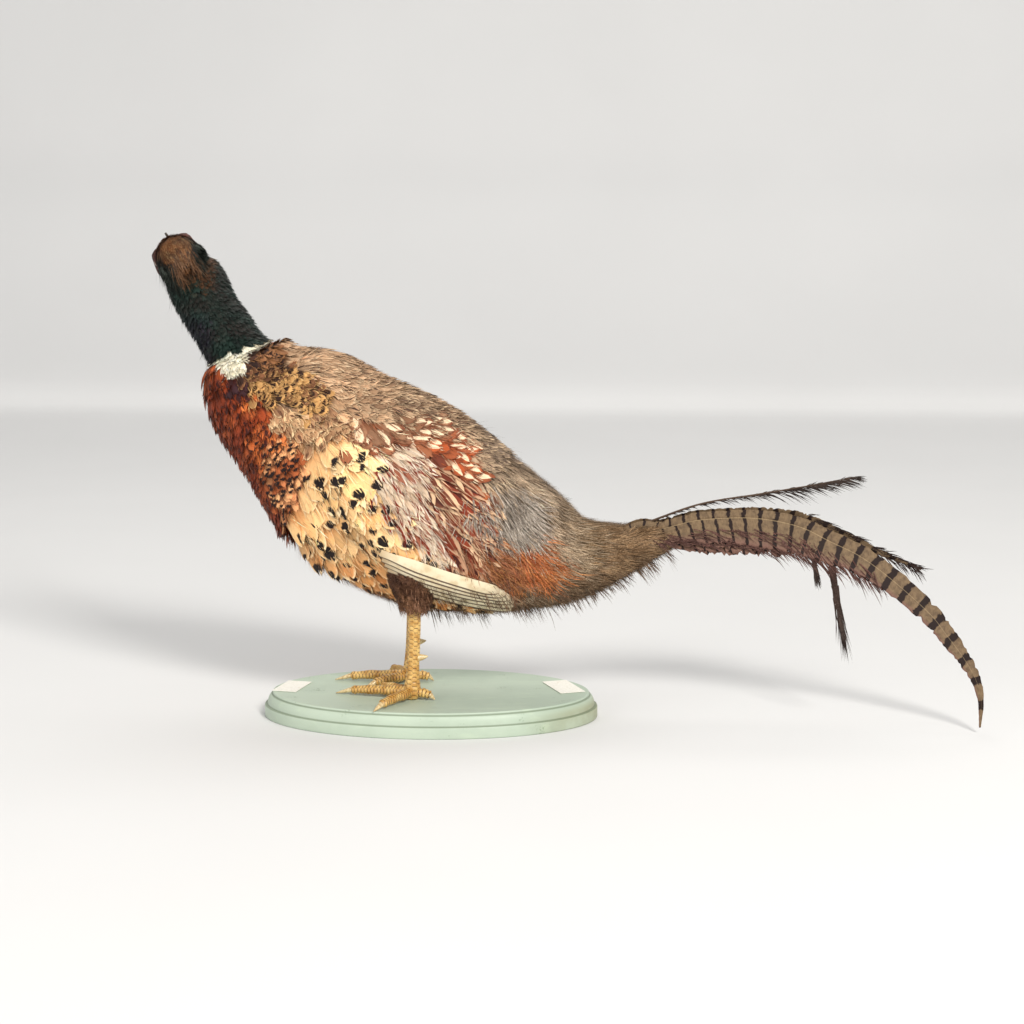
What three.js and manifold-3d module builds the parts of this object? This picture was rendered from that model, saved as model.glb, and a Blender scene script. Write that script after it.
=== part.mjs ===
// A life-size mounted cock pheasant on an oval turned board, in millimetres, +Z up.
// The bird faces -X, its left side is -Y, and the origin is the centre of the board's underside.
// The bird's own lengths are given from a point BIRD_AT, where its middle plane is y = 0.
// It stands still: the head is turned over the right shoulder, and the long tail runs out along +X
// and droops.

import * as THREE from "three";
import { mergeVertices } from "three/addons/utils/BufferGeometryUtils.js";
import Module from "manifold-3d";

const wasm = await Module();
wasm.setup();

// ---------------------------------------------------------------- driving dimensions

const GAP = 0.3; // between faces that meet
const BOARD = { length: 270, width: 169, height: 20, topInset: 6.5, sides: 36 };
const BIRD_AT = [0, -5, -1];
const FLOOR = BOARD.height - BIRD_AT[2]; // the board's top in the bird's lengths
const LABELS = {
  thickness: 0.5,
  front: { x: -114, y: 6, wide: 20, long: 37, turn: -12 },
  back: { x: 107, y: 16, wide: 21, long: 44, turn: 22 },
};

// The trunk and neck are one loft. Each station has its centre, and half its depth and width.
const BODY = [
  { at: "nape", x: -192.5, y: 8, z: 363, deep: 21.5, wide: 17 },
  { at: "neckTop", x: -184, y: 5, z: 347.5, deep: 24.5, wide: 20 },
  { at: "neckMiddle", x: -173, y: 1, z: 327, deep: 23.5, wide: 23 },
  { at: "collar", x: -161.5, y: 0, z: 310, deep: 24.3, wide: 25 },
  { at: "ringBase", x: -153.5, y: 0, z: 296.5, deep: 25.5, wide: 29 },
  { at: "shoulder", x: -146.5, y: 0, z: 283, deep: 39.5, wide: 38 },
  { at: "crop", x: -128.5, y: 0, z: 260, deep: 52.5, wide: 46 },
  { at: "breast", x: -98, y: 0, z: 236, deep: 67, wide: 53 },
  { at: "chest", x: -62, y: 0, z: 206, deep: 78, wide: 57 },
  { at: "belly", x: -14, y: 0, z: 176, deep: 82, wide: 58 },
  { at: "flank", x: 34, y: 0, z: 155, deep: 71, wide: 53 },
  { at: "rump", x: 78, y: 0, z: 141, deep: 54, wide: 44 },
  { at: "vent", x: 116, y: 0, z: 133, deep: 36, wide: 32 },
  { at: "tailRoot", x: 150, y: 0, z: 138, deep: 22, wide: 22 },
  { at: "coverts", x: 170, y: 0, z: 144, deep: 16.5, wide: 16 },
  { at: "covertsEnd", x: 186, y: 0, z: 149, deep: 12, wide: 11 },
];
const BACK_FULLER = 0.1; // how much wider the back half of a section is than its middle
const BODY_SIDES = 28;
const STEPS_PER_STATION = 2;

// The folded wing swells the trunk's side over an oval that slants down to the rear.
const SWELL = { x: -8, z: 172, slant: -0.7405, halfLength: 106, halfWidth: 50, height: 9, edge: 0.32 };
// The wing and its folded flight feathers are plates, given by their outlines from the side.
const WING = {
  thickness: 1.6,
  outline: [
    [-93, 246], [-86, 229], [-70, 213], [-54, 190], [-40, 163], [-33, 149], [-8, 145.5], [28, 137.5],
    [58, 130.5], [68, 138], [70, 160], [62, 190], [44, 220], [16, 243], [-20, 258], [-60, 259],
    [-84, 254],
  ],
};
const FLIGHT = {
  thickness: 3,
  outline: [
    [-32, 148.5], [-24, 126], [14, 107], [70, 101], [74, 113], [59, 130], [28, 137.1], [-8, 145.1],
  ],
};

// The head has its own frame: forward along the bill, left and up.
const HEAD = {
  centre: [-199, 8, 368.5],
  lean: 33, // degrees, towards the bird's left
  turn: 13, // degrees, of the bill away from straight to the right
  pitch: 18, // degrees, of the bill upwards
  sections: [
    { forward: -24, wide: 7, top: 7, bottom: 8 },
    { forward: -19, wide: 14, top: 14, bottom: 15 },
    { forward: -10, wide: 18, top: 18.5, bottom: 19 },
    { forward: 0, wide: 18.5, top: 19.5, bottom: 20 },
    { forward: 10, wide: 17, top: 18, bottom: 18 },
    { forward: 18, wide: 13.5, top: 14, bottom: 14.5 },
    { forward: 25, wide: 8.5, top: 8, bottom: 9.5 },
  ],
  sides: 20,
};
const EYE = { radius: 5, forward: 9, side: 13.3, up: 4 };
const WATTLE = { forward: 9, side: 10.5, up: -1, long: 14, thick: 9.3, tall: 15.5 };
const EAR_TUFT = { root: [-6, 14.5, 2], tip: [-22, 18.5, 5], radius: 4.2 };
const BILL = {
  upper: [
    { forward: 25.3, up: 2.4, wide: 5.6, tall: 3.9 },
    { forward: 35, up: 2.2, wide: 4.6, tall: 3.3 },
    { forward: 45, up: 0.6, wide: 3.2, tall: 2.4 },
    { forward: 53, up: -3.2, wide: 1.0, tall: 1.1 },
  ],
  lower: [
    { forward: 25.3, up: -3.6, wide: 4.9, tall: 1.9 },
    { forward: 36, up: -3.1, wide: 3.9, tall: 1.6 },
    { forward: 46, up: -3.7, wide: 2.0, tall: 1.0 },
  ],
};

// Legs. Each foot has its ground point under the shank and its four toes as headings and lengths.
const THIGH = { top: 128, bottom: 87, topRadius: 22, bottomRadius: 9.5 };
const SHANK = { topRadius: 5.2, middleRadius: 4.9, ankleRadius: 6.6, ankleHeight: 9.5 };
const TOE = { radius: 3.9, clawShare: 0.2, arch: 3.2 };
const SPUR = { height: 34, length: 10, radius: 3.2 };
const FEET = {
  left: {
    x: -12, y: -28, thighX: -8, thighY: -31,
    toes: { inner: [135, 47], middle: [166, 65], outer: [241, 53], hind: [-12, 19] },
  },
  right: {
    x: -19, y: 33, thighX: -13, thighY: 33,
    toes: { inner: [218, 44], middle: [177, 63], outer: [118, 47], hind: [12, 19] },
  },
};

// Tail feathers are parallel blades nested like the two slopes of a steep roof. Each row of a
// line is a point of the shaft, and the blade's width above and below it.
const TAIL = {
  tilt: 20, // degrees, of each slope from upright
  firstY: 6.8,
  nest: 1.4, // distance between nested blades
  edgeThickness: 0.6,
  shaftThickness: 1.1,
  stepsPerRow: 1.6,
  line: {
    left: [
      [184.8, 0, 156.9, 6, 11], [211, 0, 163.5, 6.5, 20], [238, 0, 166, 6.5, 23], [260, -1, 166, 7, 25],
      [281, -2, 163, 8, 25], [299, -4, 158, 8, 23], [317, -6, 149, 9, 19], [342, -9, 137, 9.5, 15],
      [368, -13, 118, 10, 11.5], [396, -17, 93, 8.5, 9], [408, -20, 78, 8, 8],
      [421, -23, 61, 6.5, 6.5], [431, -26, 44, 4.5, 4.5], [435.5, -28, 27, 2.5, 3],
      [435, -30, 6, 0.8, 0.8],
    ],
    right: [
      [184.8, 0, 156.9, 6, 11], [211, 0, 163.5, 6.5, 20], [238, 0, 166, 6.5, 22], [260, 0, 166.5, 7, 22],
      [281, 0, 165, 7.5, 21], [299, 1, 161, 7.5, 19], [317, 2, 154.5, 7.5, 16], [342, 2, 144, 7, 12],
      [368, 2, 133, 5.5, 8], [392, 1, 123, 1.5, 2],
    ],
  },
  share: { left: [1, 0.45, 0.34, 0.23], right: [1, 0.84, 0.62, 0.4] },
  drop: [0, 4, 7, 9], // how far each nested blade's shaft lies below the first
};
// One loose feather stands over the tail, and two locks of barbs hang from its left side.
const STRAY = {
  tilt: 8,
  line: [
    [172, 0, 160, 1, 1.5], [216, -1, 176, 1.5, 2.6], [263, -1, 184.5, 1.8, 6], [305, -1, 192, 1.4, 7],
    [339, -2, 199, 0.8, 1.5],
  ],
};
const LOCKS = [
  { top: [303, -17, 143], bottom: [309.5, -18.5, 111], wide: 5 },
  { top: [319, -16, 130], bottom: [333, -19, 51], wide: 6.5 },
];

const COLOURS = {
  board: [0x9fb899, 0.55], paper: [0xf2f0ea, 0.8],
  horn: [0x8d7f63, 0.45], eye: [0x1a0f0a, 0.1], wattle: [0x5a2420, 0.7],
  green: [0x16231f, 0.5], crown: [0x6b4631, 0.8], copper: [0xa0522d, 0.75], grey: [0x8a7a68, 0.85],
  olive: [0x84704f, 0.85], chestnut: [0x8a4a30, 0.8], cream: [0xe3d5b0, 0.7], dark: [0x3c2a20, 0.9],
  leg: [0xb08a4e, 0.5], claw: [0xd8c79a, 0.4], bar: [0x9c8768, 0.75],
};

// ---------------------------------------------------------------- curves

// Uniform Catmull-Rom through the values, at t from 0 to their count less one.
function through(values, t) {
  const last = values.length - 1;
  const i = Math.min(Math.max(Math.floor(t), 0), last - 1);
  const f = t - i;
  const b = values[i];
  const c = values[i + 1];
  const a = i > 0 ? values[i - 1] : 2 * b - c;
  const d = i + 2 <= last ? values[i + 2] : 2 * c - b;
  return b + 0.5 * f * (c - a + f * (2 * a - 5 * b + 4 * c - d + f * (3 * (b - c) + d - a)));
}

function pointThrough(points, t) {
  return new THREE.Vector3(
    through(points.map((p) => p[0]), t),
    through(points.map((p) => p[1]), t),
    through(points.map((p) => p[2]), t),
  );
}

function directionThrough(points, t) {
  const step = 0.01;
  const ahead = pointThrough(points, Math.min(t + step, points.length - 1));
  return ahead.sub(pointThrough(points, Math.max(t - step, 0))).normalize();
}

const smooth = (t) => THREE.MathUtils.smoothstep(t, 0, 1);

// ---------------------------------------------------------------- solids

// A BufferGeometry as a manifold-3d solid, by its merged positions alone.
function solidOf(geometry) {
  const bare = new THREE.BufferGeometry();
  bare.setAttribute("position", geometry.getAttribute("position"));
  if (geometry.index) bare.setIndex(geometry.index);
  const merged = mergeVertices(bare, 1e-3);
  return new wasm.Manifold(
    new wasm.Mesh({
      numProp: 3,
      vertProperties: new Float32Array(merged.attributes.position.array),
      triVerts: new Uint32Array(merged.index.array),
    }),
  );
}

function geometryOf(solid) {
  const mesh = solid.getMesh();
  const positions = new Float32Array(mesh.numVert * 3);
  for (let i = 0; i < mesh.numVert; i += 1) {
    positions.set(mesh.vertProperties.subarray(i * mesh.numProp, i * mesh.numProp + 3), i * 3);
  }
  const geometry = new THREE.BufferGeometry();
  geometry.setAttribute("position", new THREE.BufferAttribute(positions, 3));
  geometry.setIndex(new THREE.BufferAttribute(mesh.triVerts, 1));
  geometry.computeVertexNormals();
  return geometry;
}

// A closed solid from rings of points, with a flat fan over each end. Rings that turn the wrong
// way would give faces that point inwards, so they are turned round.
function loft(rings) {
  const sides = rings[0].length;
  const positions = rings.flat().flatMap((p) => [p.x, p.y, p.z]);
  const index = [];
  for (let r = 0; r + 1 < rings.length; r += 1) {
    for (let s = 0; s < sides; s += 1) {
      const here = r * sides + s;
      const beside = r * sides + ((s + 1) % sides);
      index.push(here, here + sides, beside, beside, here + sides, beside + sides);
    }
  }
  const centres = [rings[0], rings.at(-1)].map((ring) => {
    const middle = ring.reduce((sum, p) => sum.add(p), new THREE.Vector3()).divideScalar(sides);
    positions.push(middle.x, middle.y, middle.z);
    return positions.length / 3 - 1;
  });
  const lastRing = (rings.length - 1) * sides;
  for (let s = 0; s < sides; s += 1) {
    const next = (s + 1) % sides;
    index.push(centres[0], s, next);
    index.push(centres[1], lastRing + next, lastRing + s);
  }
  const geometry = new THREE.BufferGeometry();
  geometry.setAttribute("position", new THREE.BufferAttribute(new Float32Array(positions), 3));
  geometry.setIndex(index);
  const solid = solidOf(geometry);
  if (solid.volume() > 0) return solid;
  return loft(rings.map((ring) => [...ring].reverse()));
}

// A round post with level rings, for a leg that stands nearly upright.
function post(points, radii, sides) {
  return loft(
    points.map((p, i) =>
      Array.from({ length: sides }, (_, s) => {
        const angle = (2 * Math.PI * s) / sides;
        const out = new THREE.Vector3(Math.cos(angle), Math.sin(angle), 0);
        return out.multiplyScalar(radii[i]).add(p);
      }),
    ),
  );
}

// A round tube along points with a radius at each, flattened by squash across its height.
function tube(points, radii, sides = 10, squash = 1) {
  const up = new THREE.Vector3(0, 0, 1);
  const rings = points.map((p, i) => {
    const ahead = points[Math.min(i + 1, points.length - 1)];
    const behind = points[Math.max(i - 1, 0)];
    const along = ahead.clone().sub(behind).normalize();
    const across = new THREE.Vector3().crossVectors(along, up);
    if (across.length() < 0.05) across.set(1, 0, 0);
    across.normalize();
    const rise = new THREE.Vector3().crossVectors(across, along).normalize();
    return Array.from({ length: sides }, (_, s) => {
      const angle = (2 * Math.PI * s) / sides;
      return p
        .clone()
        .addScaledVector(across, radii[i] * Math.cos(angle))
        .addScaledVector(rise, radii[i] * squash * Math.sin(angle));
    });
  });
  return loft(rings);
}

function ellipsoid(a, b, c, sides = 14) {
  return solidOf(new THREE.SphereGeometry(1, sides, Math.round(sides / 2)).scale(a, b, c));
}

// ---------------------------------------------------------------- trunk and neck

const column = (name) => BODY.map((station) => station[name]);
const centreLine = BODY.map((station) => [station.x, station.y, station.z]);
const stationOf = (name) => BODY.findIndex((station) => station.at === name);

// The frame of the section at u: its centre, the way to the back and the way to the left.
function sectionAt(u) {
  const along = directionThrough(centreLine, u);
  const left = new THREE.Vector3(0, -1, 0).addScaledVector(along, along.y).normalize();
  const back = new THREE.Vector3().crossVectors(left, along).normalize();
  return { centre: pointThrough(centreLine, u), left, back };
}

// How far the folded wing swells the side at a place seen from the side, in millimetres.
function swellAt(x, z) {
  const dx = x - SWELL.x;
  const dz = z - SWELL.z;
  const along = dx * Math.cos(SWELL.slant) + dz * Math.sin(SWELL.slant);
  const across = dz * Math.cos(SWELL.slant) - dx * Math.sin(SWELL.slant);
  const reach = Math.hypot(along / SWELL.halfLength, across / SWELL.halfWidth);
  return SWELL.height * smooth((1 - reach) / SWELL.edge);
}

// A point of the body's surface: v is 0 at the back, a quarter turn at the left side.
function bodyPoint(u, v, grow, winged) {
  const { centre, left, back } = sectionAt(u);
  const deep = through(column("deep"), u) + grow;
  const wide = through(column("wide"), u) + grow;
  const fuller = 1 + BACK_FULLER * Math.cos(v) * smooth(u / stationOf("breast"));
  const p = centre.addScaledVector(back, deep * Math.cos(v));
  p.addScaledVector(left, wide * fuller * Math.sin(v));
  if (winged) p.y -= Math.sin(v) >= 0 ? swellAt(p.x, p.z) : -swellAt(p.x, p.z);
  return p;
}

function bodyLoft(from, to, { grow = 0, winged = false, startGap = 0, endGap = 0 } = {}) {
  const steps = Math.round((to - from) * STEPS_PER_STATION);
  const rings = [];
  for (let i = 0; i <= steps; i += 1) {
    const u = from + ((to - from) * i) / steps;
    const shift = i === 0 ? startGap : i === steps ? -endGap : 0;
    const along = directionThrough(centreLine, u).multiplyScalar(shift);
    rings.push(
      Array.from({ length: BODY_SIDES }, (_, s) =>
        bodyPoint(u, (2 * Math.PI * s) / BODY_SIDES, grow, winged).add(along),
      ),
    );
  }
  return loft(rings);
}

const END = BODY.length - 1;
const neckLoft = (grow) => bodyLoft(0, stationOf("collar"), { grow });
const plainBody = (grow) => bodyLoft(0, END, { grow });
const wingedBody = (grow) => bodyLoft(0, END, { grow, winged: true });

// ---------------------------------------------------------------- head

const radians = THREE.MathUtils.degToRad;

// The head's frame as a matrix, from its forward, left and up directions.
function headFrame() {
  const up = new THREE.Vector3(-Math.sin(radians(HEAD.lean)), 0, Math.cos(radians(HEAD.lean)));
  const forward = new THREE.Vector3(0, 1, 0);
  forward.applyAxisAngle(up, radians(HEAD.turn));
  const left = new THREE.Vector3().crossVectors(up, forward);
  forward.applyAxisAngle(left, -radians(HEAD.pitch));
  up.applyAxisAngle(left, -radians(HEAD.pitch));
  const frame = new THREE.Matrix4().makeBasis(forward, left, up);
  return frame.setPosition(new THREE.Vector3(...HEAD.centre));
}

const HEAD_FRAME = headFrame();

// A point given as forward, left and up in the head's frame.
const inHead = (forward, left, up) =>
  new THREE.Vector3(forward, left, up).applyMatrix4(HEAD_FRAME);

function headLoft(grow) {
  const rings = HEAD.sections.map((section) =>
    Array.from({ length: HEAD.sides }, (_, s) => {
      const angle = (2 * Math.PI * s) / HEAD.sides;
      const height = Math.sin(angle) > 0 ? section.top : section.bottom;
      return inHead(
        section.forward,
        (section.wide + grow) * Math.cos(angle),
        (height + grow) * Math.sin(angle),
      );
    }),
  );
  return loft(rings);
}

function billLoft(sections, grow = 0) {
  const sides = 10;
  return loft(
    sections.map((section) =>
      Array.from({ length: sides }, (_, s) => {
        const angle = (2 * Math.PI * s) / sides;
        return inHead(
          section.forward,
          (section.wide + grow) * Math.cos(angle),
          section.up + (section.tall + grow) * Math.sin(angle),
        );
      }),
    ),
  );
}

function onHead(solid, forward, left, up) {
  return solid.translate([forward, left, up]).transform(HEAD_FRAME.toArray());
}

const eyeball = (side, grow = 0) =>
  onHead(ellipsoid(EYE.radius + grow, EYE.radius + grow, EYE.radius + grow, 12),
    EYE.forward, side * EYE.side, EYE.up);

function wattle(side) {
  const patch = onHead(ellipsoid(WATTLE.long, WATTLE.thick, WATTLE.tall),
    WATTLE.forward, side * WATTLE.side, WATTLE.up);
  const cuts = [headLoft(GAP), eyeball(side, GAP), earTuft(side, GAP), neckLoft(GAP)];
  return cuts.reduce((solid, cut) => solid.subtract(cut), patch);
}

function earTuft(side, grow = 0) {
  const [start, end] = [EAR_TUFT.root, EAR_TUFT.tip].map(([forward, left, up]) =>
    inHead(forward, side * left, up));
  const points = [0, 0.4, 0.75, 1].map((t) => start.clone().lerp(end, t));
  return tube(points, [0.8, 1, 0.75, 0.2].map((k) => k * EAR_TUFT.radius + grow), 8);
}

// ---------------------------------------------------------------- legs

const heading = (degrees) =>
  new THREE.Vector3(Math.cos(radians(degrees)), Math.sin(radians(degrees)), 0);

function thigh(foot, grow = 0) {
  const steps = 5;
  const start = new THREE.Vector3(foot.thighX, foot.thighY, THIGH.top);
  const end = new THREE.Vector3(foot.x + 2, foot.y, THIGH.bottom - grow);
  const points = [];
  const radii = [];
  for (let i = 0; i <= steps; i += 1) {
    const t = i / steps;
    points.push(start.clone().lerp(end, t));
    radii.push(THREE.MathUtils.lerp(THIGH.topRadius, THIGH.bottomRadius, smooth(t * 1.1)) + grow);
  }
  return post(points, radii, 14);
}

function shank(foot, grow = 0) {
  const ground = FLOOR + GAP;
  const heights = [
    [THIGH.bottom, SHANK.topRadius], [72, SHANK.middleRadius], [50, SHANK.middleRadius],
    [40, SHANK.middleRadius + 0.5], [ground + SHANK.ankleHeight, SHANK.ankleRadius],
    [ground + 4.5, SHANK.ankleRadius], [ground + 0.2 + grow, SHANK.ankleRadius * 0.6],
  ];
  const points = heights.map(([z]) =>
    new THREE.Vector3(foot.x + 2 * smooth((z - ground) / 60), foot.y, z));
  return post(points, heights.map(([, radius]) => radius + grow), 12);
}

// A toe's line from the ankle to the claw's tip: it arches over its joints and ends on the board.
function toeLine(foot, [degrees, length], t) {
  const base = FLOOR + GAP + 0.1;
  const lift = TOE.radius * (1 - 0.9 * Math.max(0, (t - 0.8) / 0.2));
  const arch = TOE.arch * Math.sin(Math.PI * Math.min(t * 1.25, 1));
  const root = 2.5 * (1 - smooth(t * 3));
  return heading(degrees)
    .multiplyScalar(length * t)
    .add(new THREE.Vector3(foot.x, foot.y, base + lift + arch * 0.5 + root));
}

function toe(foot, name, grow = 0) {
  const ends = 1 - TOE.clawShare;
  const steps = 7;
  const points = [];
  const radii = [];
  for (let i = 0; i <= steps; i += 1) {
    const t = ends * (0.08 + (0.92 * i) / steps);
    points.push(toeLine(foot, foot.toes[name], t));
    const knuckle = 1 + 0.06 * Math.cos((t / ends) * Math.PI * 6);
    radii.push(TOE.radius * knuckle * (1 - 0.22 * (t / ends)) * (i === steps ? 0.8 : 1) + grow);
  }
  return tube(points, radii, 8, 0.92);
}

function claw(foot, name) {
  const steps = 4;
  const points = [];
  const radii = [];
  for (let i = 0; i <= steps; i += 1) {
    const t = 1 - TOE.clawShare + TOE.clawShare * (i / steps);
    const start = i === 0 ? GAP : 0;
    points.push(toeLine(foot, foot.toes[name], t + start / foot.toes[name][1]));
    radii.push(TOE.radius * 0.58 * (1 - 0.86 * (i / steps) ** 1.3));
  }
  return tube(points, radii, 6, 0.8);
}

function spur(foot) {
  const z = FLOOR + SPUR.height;
  const points = [0, 0.5, 1].map((t) =>
    new THREE.Vector3(foot.x + 3 + SPUR.length * t, foot.y, z + 1.2 * t * t));
  return tube(points, [SPUR.radius, SPUR.radius * 0.7, 0.5], 8).subtract(shank(foot, GAP));
}

// ---------------------------------------------------------------- tail

// A thin blade along the first share of a line. Its upper edge leans over towards the side given,
// and its end narrows where it is cut short.
function blade({ line, share = 1, side = 1, tilt, offset = 0, drop = 0, grow = 0 }) {
  const steps = Math.max(8, Math.round(TAIL.stepsPerRow * (line.length - 1) * share));
  const last = (line.length - 1) * share;
  const level = new THREE.Vector3(0, 1, 0);
  const rings = [];
  for (let i = 0; i <= steps; i += 1) {
    const t = (last * i) / steps;
    const along = directionThrough(line, t);
    const upright = new THREE.Vector3().crossVectors(along, level).normalize();
    const rise = upright
      .multiplyScalar(Math.cos(radians(tilt)))
      .addScaledVector(level, side * Math.sin(radians(tilt)));
    const face = new THREE.Vector3().crossVectors(along, rise).normalize();
    const centre = pointThrough(line, t).addScaledVector(level, -side * offset);
    centre.addScaledVector(rise, -drop * smooth((i / steps) * 3));
    const narrow = share < 1 ? 1 - 0.85 * smooth((i / steps - 0.65) / 0.35) : 1;
    const up = through(line.map((row) => row[3]), t) * narrow + grow;
    const down = through(line.map((row) => row[4]), t) * narrow + grow;
    const edge = TAIL.edgeThickness / 2 + grow;
    const shaft = TAIL.shaftThickness / 2 + grow;
    const section = [[up, edge], [0, shaft], [-down, edge], [-down, -edge], [0, -shaft], [up, -edge]];
    rings.push(section.map(([height, depth]) =>
      centre.clone().addScaledVector(rise, height).addScaledVector(face, depth)));
  }
  return loft(rings);
}

function tailFeather(word, order, grow = 0) {
  return blade({
    line: TAIL.line[word],
    share: TAIL.share[word][order],
    side: word === "left" ? 1 : -1,
    tilt: TAIL.tilt,
    offset: TAIL.firstY - TAIL.nest * order,
    drop: TAIL.drop[order],
    grow,
  });
}

function lock({ top, bottom, wide }) {
  const start = new THREE.Vector3(...top);
  const end = new THREE.Vector3(...bottom);
  const points = [0, 0.3, 0.7, 1].map((t) => start.clone().lerp(end, t));
  return tube(points, [0.7, 1, 0.8, 0.15].map((k) => (k * wide) / 2), 8, 0.4);
}

// ---------------------------------------------------------------- board and labels

function board() {
  const radius = BOARD.length / 2;
  const inner = radius - BOARD.topInset;
  const top = BOARD.height;
  const profile = [
    [0, 0], [radius - 1, 0], [radius, 1], [radius, 8.6], [radius - 0.8, 9.4], [radius - 2.4, 9.6],
    [radius - 2.6, 11.6], [radius - 3.2, 14.2], [radius - 4.4, 16.6], [inner - 0.2, 18.2],
    [inner, 18.8], [inner - 0.3, 19.6], [inner - 1.2, top], [0, top],
  ];
  const turned = new THREE.LatheGeometry(
    profile.map(([r, z]) => new THREE.Vector2(r, z)), BOARD.sides);
  return solidOf(turned.rotateX(Math.PI / 2).scale(1, BOARD.width / BOARD.length, 1));
}

function label({ x, y, wide, long, turn }) {
  const paper = new THREE.BoxGeometry(wide, long, LABELS.thickness).rotateZ(radians(turn));
  return solidOf(paper.translate(x, y, BOARD.height + GAP + LABELS.thickness / 2));
}

// ---------------------------------------------------------------- the model

const model = new THREE.Group();
const bird = new THREE.Group();
bird.position.set(...BIRD_AT);
model.add(bird);

function add(name, solid, [colour, roughness], group = bird) {
  const material = new THREE.MeshStandardMaterial({ color: colour, roughness, metalness: 0 });
  const mesh = new THREE.Mesh(geometryOf(solid), material);
  mesh.name = name;
  group.add(mesh);
}

// An outline moved outwards by a distance, corner by corner.
function widened(outline, distance) {
  const corner = (i) => new THREE.Vector2(...outline.at(i % outline.length));
  return outline.map((_, i) => {
    const before = corner(i).sub(corner(i - 1)).normalize();
    const after = corner(i + 1).sub(corner(i)).normalize();
    const out = new THREE.Vector2(before.y + after.y, -before.x - after.x);
    return corner(i).addScaledVector(out, (2 * distance) / out.lengthSq()).toArray();
  });
}

// What lies inside an outline drawn from the side, on one side of the bird.
function prism(outline, side) {
  const shape = new THREE.Shape(outline.map(([x, z]) => new THREE.Vector2(x, z)));
  const block = new THREE.ExtrudeGeometry(shape, { depth: 120, bevelEnabled: false });
  return solidOf(block.rotateX(Math.PI / 2).translate(0, side > 0 ? 121 : -1, 0));
}

const largest = (solid) => solid.decompose().sort((a, b) => b.volume() - a.volume())[0];

add("board", board(), COLOURS.board, model);
add("label_front", label(LABELS.front), COLOURS.paper, model);
add("label_back", label(LABELS.back), COLOURS.paper, model);

const cutParts = [
  ["neck", "nape", "shoulder", COLOURS.green],
  ["breast", "shoulder", "chest", COLOURS.copper],
  ["trunk", "chest", "rump", COLOURS.grey],
  ["rump", "rump", "tailRoot", COLOURS.olive],
  ["tail_coverts", "tailRoot", "covertsEnd", COLOURS.olive],
];
for (const [name, from, to, colour] of cutParts) {
  const piece = bodyLoft(stationOf(from), stationOf(to), { startGap: name === "neck" ? 0 : GAP });
  add(name, name === "neck" ? piece.subtract(headLoft(GAP)) : piece, colour);
}

add("head", headLoft(0), COLOURS.crown);
add("bill_upper", billLoft(BILL.upper), COLOURS.horn);
add("bill_lower", billLoft(BILL.lower), COLOURS.horn);

const inside = plainBody(GAP);
const wingShell = wingedBody(WING.thickness).subtract(inside);
const flightShell = wingedBody(FLIGHT.thickness).subtract(inside);
const wingShellGrown = wingedBody(WING.thickness + GAP);
const flightShellGrown = wingedBody(FLIGHT.thickness + GAP);

for (const [word, side] of [["left", -1], ["right", 1]]) {
  const foot = FEET[word];
  const headSide = -side;
  add(`eye_${word}`, eyeball(headSide).subtract(headLoft(GAP)), COLOURS.eye);
  add(`wattle_${word}`, largest(wattle(headSide)), COLOURS.wattle);
  const tuft = earTuft(headSide).subtract(headLoft(GAP)).subtract(neckLoft(GAP));
  add(`ear_tuft_${word}`, largest(tuft), COLOURS.green);

  const wing = wingShell.intersect(prism(WING.outline, side));
  const flights = flightShell.intersect(prism(FLIGHT.outline, side));
  add(`wing_${word}`, largest(wing), COLOURS.chestnut);
  add(`flight_feathers_${word}`, largest(flights), COLOURS.cream);
  const folded = flightShellGrown
    .intersect(prism(widened(FLIGHT.outline, GAP), side))
    .add(wingShellGrown.intersect(prism(widened(WING.outline, GAP), side)));
  add(`thigh_${word}`, largest(thigh(foot).subtract(inside).subtract(folded)), COLOURS.dark);

  add(`shank_${word}`, largest(shank(foot).subtract(thigh(foot, GAP))), COLOURS.leg);
  add(`spur_${word}`, largest(spur(foot)), COLOURS.claw);
  for (const name of Object.keys(foot.toes)) {
    let digit = toe(foot, name).subtract(shank(foot, GAP));
    if (name !== "middle") digit = digit.subtract(toe(foot, "middle", GAP));
    add(`toe_${name}_${word}`, largest(digit), COLOURS.leg);
    add(`claw_${name}_${word}`, claw(foot, name).subtract(toe(foot, name, GAP)), COLOURS.claw);
  }
  TAIL.drop.forEach((_, order) => {
    add(`tail_feather_${order + 1}_${word}`, tailFeather(word, order), COLOURS.bar);
  });
}

const coverts = bodyLoft(stationOf("tailRoot"), END, { grow: GAP, startGap: -GAP, endGap: -GAP });
add("tail_feather_stray", largest(blade(STRAY).subtract(coverts)), COLOURS.dark);
LOCKS.forEach((shape, i) => {
  const hanging = lock(shape).subtract(tailFeather("left", 0, GAP));
  add(`tail_lock_${i + 1}`, largest(hanging), COLOURS.dark);
});

export default model;
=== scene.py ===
import functools
import math

import bmesh
import bpy
import numpy as np
from bpy.props import FloatProperty, FloatVectorProperty, IntProperty, PointerProperty
from mathutils import Matrix, Vector


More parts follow.
